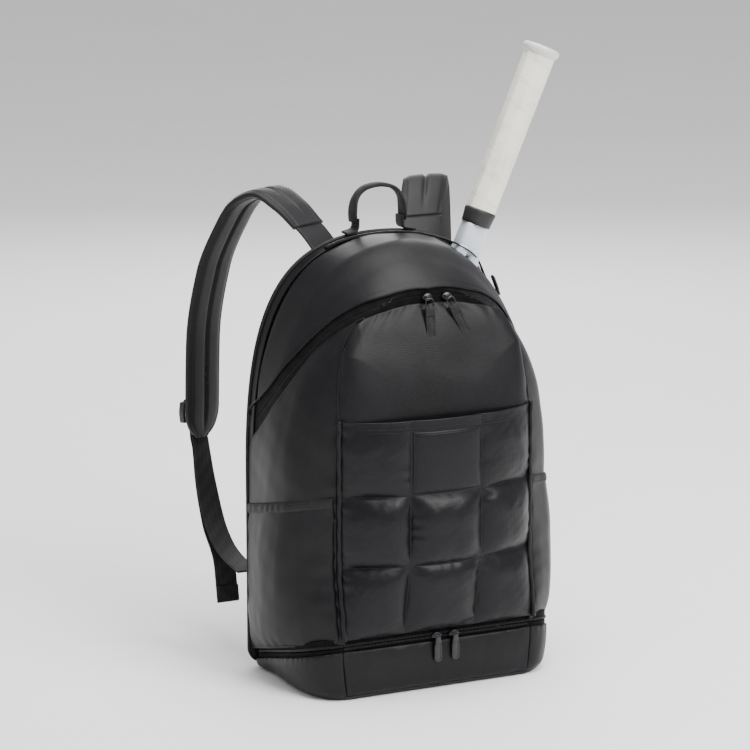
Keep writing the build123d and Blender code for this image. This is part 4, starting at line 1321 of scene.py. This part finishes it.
def pad_width(a):
    """Share of the full width at share a of the pad: round at the bottom, slightly narrower at the root."""
    a = np.asarray(a, float)
    end = np.clip((a - 0.905) / 0.095, 0, 1)
    return (1 - 0.10 * smooth(0.12, 0.0, a)) * np.sqrt(np.maximum(0.10, 1 - end**2.2))


def frame_of(path, wide):
    T = unit(np.gradient(path, axis=0))
    side = np.broadcast_to(unit(wide), path.shape)
    up = unit(np.cross(T, side))
    return side, up


for word, strap in STRAPS.items():
    root = np.array([strap["side"] * 50.0, 82.0, 0])
    line = np.array([root + strap["out"] * s + np.array([0, 0, z]) for s, z in PAD_LINE])
    path = resample(line, 170)
    side_v, up_v = frame_of(path, strap["wide"])
    share = np.linspace(0, 1, len(path))
    sections = []
    for a in share:
        narrow = pad_width(a)
        thin = 1 - 0.55 * smooth(0.90, 1.0, a) - 0.5 * smooth(0.10, 0.0, a)
        sections.append(
            pad_section(27.0 * narrow, 4.3 * thin, 2.6 * thin * smooth(0.0, 0.1, a) * smooth(1.0, 0.93, a))
        )
    pad = sweep(f"strap_pad_{word}", path, side_v, up_v, sections)
    co = np.empty(len(pad.data.vertices) * 3)
    pad.data.vertices.foreach_get("co", co)
    co = co.reshape(-1, 3) / MM
    co = co + ripple(co, 55, 101)[:, None] * 0.45
    pad.data.vertices.foreach_set("co", (co * MM).ravel())
    dress(pad, PAD, f"strap_{word}", [f"shoulder_pad_{word}"])
    # binding round the edges and stitch rows beside it
    edges, rows = [], []
    for sign in (-1, 1):
        rail = np.array(
            [p + s * sign * (27.0 * pad_width(a) - 0.9) for p, s, a in zip(path, side_v, share)]
        )
        section = rounded_box(1.7, 2.3, 1.2)
        edges.append(sweep("binding", rail, side_v, up_v, section))
        for face in (-1, 1):
            inner = np.array(
                [
                    p + s * sign * ((27.0 * pad_width(a) - 4.4)) + u * face * (
                        4.0 * (1 - 0.55 * smooth(0.90, 1, a) - 0.5 * smooth(0.1, 0, a)) + 0.35
                    )
                    for p, s, u, a in zip(path, side_v, up_v, share)
                ]
            )
            rows.append(stitch_row("st", inner[2:-9], up_v[2:-9] * face, 3.6, 2.5))
    for face in (-1, 1):
        mid = path + up_v * face * 2.9
        rows.append(stitch_row("st", mid[12:-12] + side_v[12:-12] * 1.1, up_v[12:-12] * face, 3.6, 2.5))
    # webbing box with a cross, sewn near the lower end
    for face in (-1, 1):
        k = int(0.80 * len(path))
        base, s, u = path[k] + up_v[k] * face * 4.9, side_v[k], up_v[k] * face
        down = unit(path[k + 6] - path[k])
        corners = [base + s * a * 11 + down * b * 11 for a, b in ((-1, -1), (1, -1), (1, 1), (-1, 1))]
        for a, b in ((0, 1), (1, 2), (2, 3), (3, 0), (0, 2), (1, 3)):
            rows.append(stitch_row("st", [corners[a], corners[b]], u, 3.0, 2.1, 0.7))
    dress(joined(f"strap_binding_{word}", edges), BINDING, f"strap_{word}", [])
    dress(joined(f"strap_stitching_{word}", rows), THREAD, f"strap_{word}", [])

    # ladder lock on the pad's outer face: rounded plastic frame with bars
    across = strap["wide"]
    off = np.array([-across[1], across[0], 0])
    lock = path[-14] + off * 14.0
    bars = []
    for dz, thick in ((10.2, 1.9), (0, 1.7), (-10.2, 1.9)):
        middle = lock + np.array([0, 0, dz])
        bar = [middle - across * 16, middle + off * (0.8 if dz == 0 else 0), middle + across * 16]
        bars.append(sweep("bar", bar, off, np.array([0, 0, 1.0]), rounded_box(3.4, thick, 1.4)))
    for sign in (-1, 1):
        arm = [
            lock + across * sign * 17.0 + np.array([0, 0, -11.6]), lock + across * sign * 18.0 + off * 0.6,
            lock + across * sign * 17.0 + np.array([0, 0, 11.6]),
        ]
        bars.append(sweep("arm", resample(np.array(arm), 14), across, off, rounded_box(2.1, 3.6, 1.5)))
    frame_piece = joined(f"ladder_lock_frame_{word}", bars)
    dress(frame_piece, PLASTIC, f"strap_{word}", [f"ladder_lock_{word}"])
    down = np.array([0, 0, -1.0])
    tongue = np.array(
        [
            path[-34] + off * 6.2, path[-22] + off * 6.6, lock - down * 13 + off * 1.5,
            lock - down * 9.5 + off * 4.2, lock - down * 6.5 - off * 0.5, lock - down * 10 - off * 3.8,
            path[-26] + off * 5.6,
        ]
    )
    tongue = resample(tongue, 50)
    _, up_t = frame_of(tongue, across)
    dress(
        sweep(f"strap_tongue_{word}", tongue, across, up_t, rounded_box(12.4, 0.9, 0.8)), WEBBING,
        f"strap_{word}", [],
    )

    # adjusting webbing from the lock to the foot of the bag, and its loose tail
    x1, ly = lock[0] + 6, lock[1]
    x0 = strap["web_x"]
    main = [
        (ly + 1.0, 252.0), (ly - 2.5, 240.0), (ly - 9, 226.0), (ly - 15, 190), (ly - 33, 145), (152, 119),
        (122, 112), (99, 110), (86, 109),
    ]
    tail = [
        (ly + 4.5, 248.0), (ly + 3, 236.0), (ly - 3, 222.0), (ly - 9, 190), (ly - 28, 138), (157, 102),
        (147, 60),
    ]
    pieces = []
    for run, twist in ((main, 0.0), (tail, 0.12)):
        line = resample(np.array([[x1 + (x0 - x1) * smooth(245, 120, z), y, z] for y, z in run]), 120)
        share = np.linspace(0, 1, len(line))
        turn = smooth(240, 150, line[:, 2])[:, None]
        lateral = unit(across * (1 - turn) + np.array([1.0, 0, 0]) * turn)
        lateral = unit(lateral + np.array([0, 1.0, 0]) * (twist * np.sin(share * 5.0))[:, None])
        T = unit(np.gradient(line, axis=0))
        lateral = unit(lateral - T * (lateral * T).sum(-1, keepdims=True))
        pieces.append(sweep("web", line, lateral, np.cross(lateral, T), rounded_box(12.5, 0.95, 0.85)))
    # folded and sewn end of the tail
    end = line[-1]
    T = unit(line[-1] - line[-8])
    back_off = np.array([0, -1.9, 0])
    fold = np.array(
        [
            end - T * 16 + back_off, end - T * 2 + back_off, end + T * 1.4 + back_off * 0.9,
            end + T * 1.9 + back_off * 0.4, end + T * 0.6,
        ]
    )
    fold = resample(fold, 22)
    _, up_f = frame_of(fold, np.array([1.0, 0, 0]))
    pieces.append(sweep("web", fold, np.array([1.0, 0, 0]), up_f, rounded_box(13.2, 1.0, 0.85)))
    web = joined(f"strap_webbing_strip_{word}", pieces)
    dress(web, WEBBING, None, [f"strap_webbing_{word}"])
    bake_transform(web)

    # flared root of the strap on the back of the hood
    line = np.array(
        [
            root + strap["out"] * s + np.array([0, 0, z])
            for s, z in ((-2, 418), (3, 438), (8, 454), (17, 468), (29, 482), (40, 492))
        ]
    )
    line = resample(line, 46)
    side_r, up_r = frame_of(line, strap["wide"])
    share = np.linspace(0, 1, len(line))
    sections = [rounded_box(22.0, 1.6, 1.4) for a in share]
    tab = sweep(f"strap_root_{word}", line, side_r, up_r, sections)
    dress(tab, PAD, None, ["strap_tabs"])
    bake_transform(tab)

# anchors at the foot of the back: triangles of cloth that hold the webbing
anchors = []
for strap in STRAPS.values():
    x0 = strap["web_x"]
    rows = []
    for t in np.linspace(0, 1, 12):
        half_z = 17 * (1 - t) + 12.5 * 0 + 3.0 * t
        inner = strap["side"] * 132.0
        rows.append(
            [
                [inner + (x0 - inner) * t * 0.9, 80.6 + 8 * t, 108 + w * half_z]
                for w in np.linspace(-1, 1, 12)
            ]
        )
    anchors.append(cloth_sheet("anchor", np.array(rows), 2.2, np.array([0, 1.0, 0])))
dress(joined("strap_anchor_cloth", anchors), SHELL, "bag", ["strap_anchors"])


# ---------------------------------------------------------------- racket
BUTT = np.array([188.5, 58.0, 676.5])
DOWN = unit(np.array([-0.388, 0, -0.922]))
ACROSS = np.array([-DOWN[2], 0, DOWN[0]])
DEPTH = np.array([0, 1.0, 0])
GRIP = 196.0


def racket_point(along, across, depth=0.0):
    return BUTT + DOWN * along + ACROSS * across + DEPTH * depth


def wrapped_grip(name):
    """Grip with overlapping wrap: a helical step runs down it."""
    rows, pitch, start, end = 520, 27.0, 9.0, GRIP
    s = np.linspace(start, end, rows)
    sides = 64
    a = np.linspace(0, 2 * math.pi, sides, endpoint=False)
    P = np.zeros((rows, sides, 3))
    for i, at in enumerate(s):
        t = (at - start) / (end - start)
        half_w, half_d = 18.0 - 1.4 * t, 15.4 - 1.2 * t
        # eight-sided handle with softened corners
        octagon = 1 / np.maximum.reduce(
            [
                np.abs(np.cos(a)), np.abs(np.sin(a)), np.abs(np.cos(a - math.pi / 4)) * 0.985,
                np.abs(np.sin(a - math.pi / 4)) * 0.985,
            ]
        )
        r = 0.55 * octagon * 0.96 + 0.45
        turn = ((at / pitch) - a / (2 * math.pi)) % 1.0
        step = 0.9 * (1 - smooth(0.0, 0.07, turn)) * 1.0 - 0.9 * np.exp(
            -(((turn - 0.985) / 0.02) ** 2)
        ) + 0.35 * turn
        dimple = 0.10 * np.sin(at * 1.9) * np.sin(a * 22)
        wide, deep = half_w * r + step * 0.55 + dimple, half_d * r + step * 0.55 + dimple
        P[i] = racket_point(at, 0) + ACROSS * (wide * np.cos(a))[:, None] + DEPTH * (deep * np.sin(a))[:, None]
    faces = grid_faces(rows, sides, wrap=True)
    faces += end_caps(rows, sides)
    ring_u = np.linspace(0, 110, sides)
    uv = np.stack(np.meshgrid(ring_u, s), -1).reshape(-1, 2)
    obj = make_mesh(name, P.reshape(-1, 3), faces, uv)
    fix_normals(obj)
    return obj


def grip_material():
    """Tacky wrap: cream, with fine pores, faint soiling near the seams."""
    material, nodes, links, shader = new_material("grip_wrap_cream", (0.80, 0.77, 0.66), 0.62, specular=0.3)
    space = nodes.new("ShaderNodeTexCoord").outputs["Object"]
    wide = noise(nodes, links, space, 30, 5.0, 0.6)
    fine = noise(nodes, links, space, 900, 2.0)
    links.new(
        ramp(
            nodes, links, wide,
            [(0.25, (0.66, 0.61, 0.49)), (0.5, (0.83, 0.80, 0.70)), (0.8, (0.88, 0.86, 0.78))],
        ),
        shader.inputs["Base Color"],
    )
    links.new(bump_node(nodes, links, fine, 0.25, 0.0004), shader.inputs["Normal"])
    return material


def paint_material(name, dark, light, rough=0.22):
    """Lacquered frame: soft change of tone, clear coat."""
    material, nodes, links, shader = new_material(name, light, rough)
    space = nodes.new("ShaderNodeTexCoord").outputs["Object"]
    wide = noise(nodes, links, space, 18, 3.0)
    fine = noise(nodes, links, space, 1200, 2.0)
    links.new(tone(nodes, links, wide, dark, light), shader.inputs["Base Color"])
    links.new(bump_node(nodes, links, fine, 0.03, 0.0002), shader.inputs["Normal"])
    shader.inputs["Coat Weight"].default_value = 0.6
    shader.inputs["Coat Roughness"].default_value = 0.12
    return material


dress(wrapped_grip("grip_wrap"), grip_material(), "racket", ["racket_grip"])

COVER_SIDES = 56


def grip_cover(name, rings, half_w, half_d):
    """Closed cover round the grip. rings gives distances along it with shares of the half sizes."""
    a = np.linspace(0, 2 * math.pi, COVER_SIDES, endpoint=False)
    P = np.array([
        racket_point(s, 0) + ACROSS * (half_w * r * np.cos(a))[:, None] + DEPTH * (half_d * r * np.sin(a))[
            :, None
        ]
        for s, r in rings
    ])
    faces = grid_faces(len(rings), COVER_SIDES, wrap=True) + end_caps(len(rings), COVER_SIDES)
    cover = make_mesh(name, P.reshape(-1, 3), faces)
    fix_normals(cover)
    return cover


# butt cap: rounded end with a rolled edge
cap_rings = [(0.4, 0.05), (0.0, 0.70), (0.5, 0.90), (1.8, 0.985), (4.2, 1.0), (6.5, 0.985), (8.4, 0.93),
             (10.0, 0.86), (11.5, 0.84)]
CAP_WHITE = paint_material("butt_cap_white", (0.60, 0.60, 0.58), (0.72, 0.72, 0.69), 0.35)
dress(
    grip_cover("butt_cap_shell", cap_rings, 21.6, 18.6), CAP_WHITE, "racket", ["racket_butt_cap"],
)

# rubber collar over the end of the wrap
collar_rings = [(-3.5, 0.985), (-3.0, 1.06), (-1.0, 1.09), (3, 1.06), (9, 1.02), (13.2, 1.0), (14.0, 0.95),
                (14.2, 0.80)]
collar = grip_cover("grip_collar", [(GRIP + s, r) for s, r in collar_rings], 16.9, 14.6)
dress(collar, RUBBER, "racket", ["racket_collar"])

# frame: two arms from the shaft that open into the hoop
HOOP_MID, HOOP_A, HOOP_B = 685.0 - 168.0, 162.0, 121.0
PAINT = paint_material("frame_pearl", (0.50, 0.56, 0.62), (0.72, 0.76, 0.80))
arms = []
for side in (-1, 1):
    spine = [
        (236, side * 6.8), (246, side * 8.6), (290, side * 19), (345, side * 47), (392, side * 84),
        (430, side * 104),
    ]
    line = resample(np.array([racket_point(s, w) for s, w in spine]), 90)
    T = unit(np.gradient(line, axis=0))
    across = unit(np.cross(T, DEPTH))
    sections = [
        rounded_box(7.2 - 1.0 * smooth(0.2, 0.6, t), 11.2 - 0.8 * smooth(0.0, 0.5, t), 4.6)
        for t in np.linspace(0, 1, len(line))
    ]
    arms.append(sweep("arm", line, across, DEPTH, sections))
shaft = np.array([racket_point(s, 0) for s in (GRIP + 6, GRIP + 20, 230, 240, 245)])
arms.append(
    sweep(
        "shaft", shaft, ACROSS, DEPTH,
        [
            rounded_box(w, d, 5.0)
            for w, d in ((13.6, 10.6), (13.9, 10.8), (14.4, 11.1), (14.6, 11.1), (13.6, 10.2))
        ],
    )
)
angle = np.linspace(0, 2 * math.pi, 200, endpoint=False)
ring = np.array([racket_point(HOOP_MID + HOOP_A * math.cos(t), HOOP_B * math.sin(t)) for t in angle])
T = unit(np.roll(ring, -1, 0) - np.roll(ring, 1, 0))
arms.append(sweep("hoop", ring, np.cross(T, DEPTH), DEPTH, rounded_box(5.6, 11.0, 4.2), wrap=True))
racket_frame = joined("racket_frame_shell", arms)
dress(racket_frame, PAINT, "racket", ["racket_frame"])

strings = []
for k in range(-9, 10):
    w = k * 11.5
    reach = (HOOP_A - 5) * math.sqrt(max(0.0, 1 - (w / (HOOP_B - 5)) ** 2))
    if reach > 20:
        strings.append(
            tube(
                "string",
                [
                    racket_point(HOOP_MID - reach, w), racket_point(HOOP_MID, w, 0.5),
                    racket_point(HOOP_MID + reach, w),
                ],
                0.65, 6,
            )
        )
for k in range(-11, 12):
    s = k * 13.0
    reach = (HOOP_B - 5) * math.sqrt(max(0.0, 1 - (s / (HOOP_A - 5)) ** 2))
    if reach > 20:
        strings.append(
            tube(
                "string",
                [
                    racket_point(HOOP_MID + s, -reach), racket_point(HOOP_MID + s, 0, -0.5),
                    racket_point(HOOP_MID + s, reach),
                ],
                0.65, 6,
            )
        )
dress(joined("string_bed", strings), STRING, "racket", ["racket_strings"])


# ---------------------------------------------------------------- sleeve zip across the top of the hood
def sleeve_strip(y_low, y_high, lift, rows=120):
    t = np.linspace(0, 1, rows)
    bx, bz = arch(t)
    P = np.zeros((rows, 5, 3))
    for k, y in enumerate(np.linspace(y_low, y_high, 5)):
        P[:, k] = np.stack([158.0 * bx, np.full(rows, y), SPRING_Z + 250.0 * bz], -1)
    left = P.copy()
    left[..., 0] *= -1
    P = np.concatenate([P, left[::-1][1:]])
    keep = (P[:, 0, 2] > 380) & (P[:, 0, 0] > -70)
    P = P[keep]
    N = normals_of(P)
    N *= np.sign((N * (P - centre_of_bag)).sum(-1, keepdims=True))
    return P + N * lift, N


sleeve_parts, teeth = [], []
for low, high, edge, shift in ((63.5, 68.1, -1, -1), (68.9, 73.5, 0, 1)):
    P, N = sleeve_strip(low, high, 0.8)
    spread = bump((P - racket_point(250, 0)) @ ACROSS, 0, 42) * (P[..., 0] > 20)
    P[..., 1] += shift * 8.5 * spread * np.where(shift < 0, 2.3, 0.35)
    P[..., 2] += 1.5 * spread
    sleeve_parts.append(cloth_sheet("tape", P, 0.9, N))
    line = P[:, edge]
    across = np.broadcast_to(np.array([0, 1.0, 0]), line.shape)
    teeth.append(coil("teeth", line + N[:, edge] * 0.6, N[:, edge], across, 1.8, 2.6, 1.0, 1.3))
dress(joined("sleeve_zip_cloth", sleeve_parts), TAPE, "bag", ["sleeve_zip_tape"])
GLOSS = moulded_material("sleeve_teeth", (0.022, 0.022, 0.024), 0.16, specular=0.7)
dress(joined("sleeve_zip_teeth", teeth), GLOSS, "bag", [])


# ---------------------------------------------------------------- sliders and pulls
def placed(obj, origin, x_dir, z_dir):
    """Carry a piece made round the origin (x along the zip, y across, z off the cloth) to its place."""
    x, z = unit(np.asarray(x_dir, float)), unit(np.asarray(z_dir, float))
    y = np.cross(z, x)
    turn = Matrix((x, y, z)).transposed().to_4x4()
    turn.translation = Vector(np.asarray(origin, float) * MM)
    obj.data.transform(turn)
    return obj


def slab(name, outline, z_low, z_high, bevel):
    """Flat piece with bevelled edges from an outline in x and y, in millimetres."""
    outline = np.asarray(outline, float)
    centre = outline.mean(0)
    layers = [
        (z_low, bevel), (z_low + bevel * 0.35, bevel * 0.3), (z_low + bevel, 0), (z_high - bevel, 0),
        (z_high - bevel * 0.35, bevel * 0.3), (z_high, bevel),
    ]
    P = []
    for z, inset in layers:
        away = outline - centre
        size = np.linalg.norm(away, axis=1, keepdims=True)
        P.append(
            np.column_stack(
                [centre + away * (1 - inset / np.maximum(size, 1e-6)), np.full(len(outline), z)]
            )
        )
    P = np.array(P)
    n = len(outline)
    faces = grid_faces(len(layers), n, wrap=True) + end_caps(len(layers), n)
    obj = make_mesh(name, P.reshape(-1, 3), faces, np.concatenate([outline] * len(layers)))
    fix_normals(obj)
    return obj


def slider_body(name, origin, x_dir, z_dir):
    """Zip slider: waisted body with a raised bridge."""
    a = np.linspace(0, 2 * math.pi, 40, endpoint=False)
    outline = np.column_stack([5.9 * np.cos(a), (4.1 - 0.9 * np.cos(a) ** 2 + 0.5 * np.cos(a)) * np.sin(a)])
    plate = slab("plate", outline, 0.5, 3.0, 0.5)
    low = slab("low", outline * 0.9, -1.4, 0.2, 0.4)
    bridge = resample(
        np.array(
            [[-3.8, 0, 2.6], [-3.2, 0, 4.2], [-1.2, 0, 4.85], [1.4, 0, 4.8], [3.2, 0, 4.0], [3.9, 0, 2.6]]
        ),
        20,
    )
    T = unit(np.gradient(bridge, axis=0))
    lift = np.cross(T, np.array([0, 1.0, 0]))
    arch_bar = sweep("bridge", bridge, np.array([0, 1.0, 0]), lift, rounded_box(1.5, 0.5, 0.45))
    return placed(joined(name, [plate, low, arch_bar]), origin, x_dir, z_dir)


def wire_loop(name, wide, long, radius, lift, origin, x_dir, z_dir):
    """Rounded wire loop hanging down -y."""
    a = np.linspace(0, 2 * math.pi, 48, endpoint=False)
    ring = np.column_stack([
        np.sign(np.cos(a)) * np.abs(np.cos(a)) ** 0.6 * (wide / 2 - radius),
        -0.5 - long / 2 + np.sign(np.sin(a)) * np.abs(np.sin(a)) ** 0.6 * (long / 2 - radius),
        np.full(len(a), lift),
    ])
    T = unit(np.roll(ring, -1, 0) - np.roll(ring, 1, 0))
    up = np.broadcast_to(np.array([0, 0, 1.0]), T.shape)
    b = np.linspace(0, 2 * math.pi, 8, endpoint=False)
    obj = sweep(
        name, ring, np.cross(T, up), up, np.stack([radius * np.cos(b), radius * np.sin(b)], -1), wrap=True
    )
    return placed(obj, origin, x_dir, z_dir)


def tongue_outline(wide, long, start, waist=0.0):
    """Pull shape hanging down -y, narrower at the top when waist is given, with a round end."""
    points = [(-wide / 2 + waist, -start), (wide / 2 - waist, -start)]
    for t in np.linspace(0.15, 1, 6):
        points.append((wide / 2 - waist * (1 - smooth(0, 0.6, t)), -start - t * (long - wide / 2)))
    for d in np.linspace(0, 180, 14)[1:-1]:
        points.append(
            (
                wide / 2 * math.cos(math.radians(d)),
                -start - long + wide / 2 - wide / 2 * math.sin(math.radians(d)),
            )
        )
    for t in np.linspace(1, 0.15, 6):
        points.append((-wide / 2 + waist * (1 - smooth(0, 0.6, t)), -start - t * (long - wide / 2)))
    return np.array(points)


LEAN_ANGLE = math.atan(LEAN)
LEAN_N = np.array([0, -math.cos(LEAN_ANGLE), math.sin(LEAN_ANGLE)])
LEAN_UP = np.array([0, math.sin(LEAN_ANGLE), math.cos(LEAN_ANGLE)])
TAG_LINE = [(-20.0, 8.4), (-13.0, 8.3), (-10.6, 7.6), (-10.6, 6.4), (-13.0, 5.9), (-30.0, 5.9), (-46.8, 6.0),
            (-48.6, 6.7), (-47.0, 7.5), (-30.0, 7.7), (-20.0, 7.8)]
for word, across, swing in (("left", -3.0, 0.0), ("right", 20.0, 25.0)):
    turn = math.asin(across / 316.0)
    up_by = 122.5 - 316.0 * (1 - math.cos(turn))
    at = np.array([across, FRONT_Y, HEM_Z]) + LEAN_UP * up_by
    tangent = np.array([math.cos(turn), 0, 0]) - LEAN_UP * math.sin(turn)
    dress(
        slider_body(f"main_slider_body_{word}", at, tangent, LEAN_N), BLACK_METAL, f"main_slider_{word}",
        [f"main_slider_{word}"],
    )
    sw = math.radians(swing)
    pull_x = np.array([math.cos(sw), 0, 0]) + LEAN_UP * math.sin(sw)
    loop = wire_loop(f"main_bail_wire_{word}", 10.5, 12.0, 0.9, 7.0, at, pull_x, LEAN_N)
    dress(loop, BLACK_METAL, f"main_pull_{word}", [f"main_bail_{word}"])
    # webbing tag folded round the wire and sewn
    tag = resample(np.array([[0, y, z] for y, z in TAG_LINE]), 90)
    T = unit(np.gradient(tag, axis=0))
    lift = np.cross(T, np.array([1.0, 0, 0]))
    strip = sweep("tag", tag, np.array([1.0, 0, 0]), lift, rounded_box(5.6, 0.62, 0.5))
    strip = placed(strip, at, pull_x, LEAN_N)
    strip.name = f"main_pull_tag_{word}"
    dress(strip, WEBBING, f"main_pull_{word}", [f"main_pull_{word}"])
    rows = [stitch_row("st", [[w, -16.5, 8.9], [w, -45.0, 8.2]], (0, 0, 1), 2.6, 1.9) for w in (-3.2, 3.2)]
    rows.append(stitch_row("st", [[-3.2, -19.0, 8.95], [3.2, -19.0, 8.95]], (0, 0, 1), 2.2, 1.7))
    rows.append(stitch_row("st", [[-3.2, -45.0, 8.25], [3.2, -45.0, 8.25]], (0, 0, 1), 2.2, 1.7))
    sewn = placed(joined(f"main_pull_stitching_{word}", rows), at, pull_x, LEAN_N)
    dress(sewn, THREAD, f"main_pull_{word}", [])

for word, across in (("left", -3.0), ("right", 18.0)):
    at = np.array([across, BASE_Y, SHOE_Z - 0.3])
    front = (0, -1, 0)
    dress(
        slider_body(f"shoe_slider_body_{word}", at, (1, 0, 0), front), BLACK_METAL, f"shoe_slider_{word}",
        [f"shoe_slider_{word}"],
    )
    outline = tongue_outline(9.0, 29.0, -0.5, 1.8)
    pull = slab("pull", outline, 5.4, 7.6, 0.7)
    rim = tube("rim", np.column_stack([tongue_outline(6.0, 19.0, 7.5), np.full(26, 7.7)])[:26], 0.35, 6)
    eye = wire_loop("eye", 5.4, 6.5, 0.8, 6.4, (0, 0, 0), (1, 0, 0), (0, 0, 1))
    pull = placed(joined(f"shoe_pull_tongue_{word}", [pull, rim, eye]), at, (1, 0, 0), front)
    dress(pull, PLASTIC, f"shoe_pull_{word}", [f"shoe_pull_{word}"])

sleeve_at = np.array([135.6 + 0.9295 * 1.3, 68.5, 396.8 + 0.3689 * 1.3])
along = np.array([0.36887, 0, -0.92948])
out = np.array([0.92948, 0, 0.36887])
dress(
    slider_body("sleeve_slider_body", sleeve_at, along, out), BLACK_METAL, "sleeve_slider",
    ["sleeve_slider"],
)
pull = slab("pull", tongue_outline(8.0, 25.0, -0.5, 1.6), 5.4, 7.4, 0.65)
rim = tube("rim", np.column_stack([tongue_outline(5.2, 16.0, 6.8), np.full(26, 7.5)])[:26], 0.32, 6)
pull = placed(joined("sleeve_pull_tongue", [pull, rim]), sleeve_at, (0, -1, 0), out)
dress(pull, PLASTIC, "sleeve_pull", ["sleeve_pull"])


# ---------------------------------------------------------------- what stays of the CAD
for obj in bpy.data.objects:
    if obj.type == "MESH" and obj.name.startswith("back_board"):
        obj.data.materials.clear()
        obj.data.materials.append(BOARD)


# ---------------------------------------------------------------- floor, light and camera
def pale_floor():
    bpy.ops.mesh.primitive_plane_add(size=30, location=(0, 0, cad_low[2]))
    floor = bpy.context.active_object
    floor.name = "studio_floor"
    material, nodes, links, shader = new_material("floor_pale", (0.93, 0.93, 0.93), 0.9, specular=0.1)
    space = nodes.new("ShaderNodeTexCoord").outputs["Object"]
    links.new(
        tone(nodes, links, noise(nodes, links, space, 3.0), (0.93, 0.93, 0.93), (0.95, 0.95, 0.95)),
        shader.inputs["Base Color"],
    )
    floor.data.materials.append(material)


def area_light(name, location, target, size, power, tint=(1, 1, 1)):
    light = bpy.data.lights.new(name, "AREA")
    light.shape = "RECTANGLE"
    light.size, light.size_y = size
    light.energy = power
    light.color = tint
    obj = bpy.data.objects.new(name, light)
    bpy.context.scene.collection.objects.link(obj)
    obj.location = location
    obj.rotation_euler = (Vector(target) - Vector(location)).to_track_quat("-Z", "Y").to_euler()
    return obj


pale_floor()
MIDDLE = (0.0, 0.0, 0.3)
area_light("key_light", (1.0, -2.3, 2.2), MIDDLE, (1.4, 1.4), 96)
area_light("top_light", (0.2, -0.3, 2.8), MIDDLE, (1.8, 1.8), 92)
area_light("back_light", (0.9, 2.2, 1.5), MIDDLE, (1.6, 1.4), 30)

world = bpy.data.worlds.new("studio_world")
bpy.context.scene.world = world
world.use_nodes = True
world.node_tree.nodes["Background"].inputs["Color"].default_value = (0.98, 0.97, 1.0, 1)
world.node_tree.nodes["Background"].inputs["Strength"].default_value = 0.72

AZIMUTH, ELEVATION, DISTANCE = math.radians(-24.7), math.radians(12.72), 3.2292
TARGET = Vector((-0.04175, 0.0, 0.33826))
camera_data = bpy.data.cameras.new("camera")
camera_data.lens = 143.56
camera_data.sensor_width = 36.0
camera_data.clip_end = 60.0
camera = bpy.data.objects.new("camera", camera_data)
bpy.context.scene.collection.objects.link(camera)
direction = Vector((
    math.sin(AZIMUTH) * math.cos(ELEVATION),
    -math.cos(AZIMUTH) * math.cos(ELEVATION),
    math.sin(ELEVATION),
))
camera.location = TARGET + direction * DISTANCE
camera.rotation_euler = (-direction).to_track_quat("-Z", "Y").to_euler()
bpy.context.scene.camera = camera
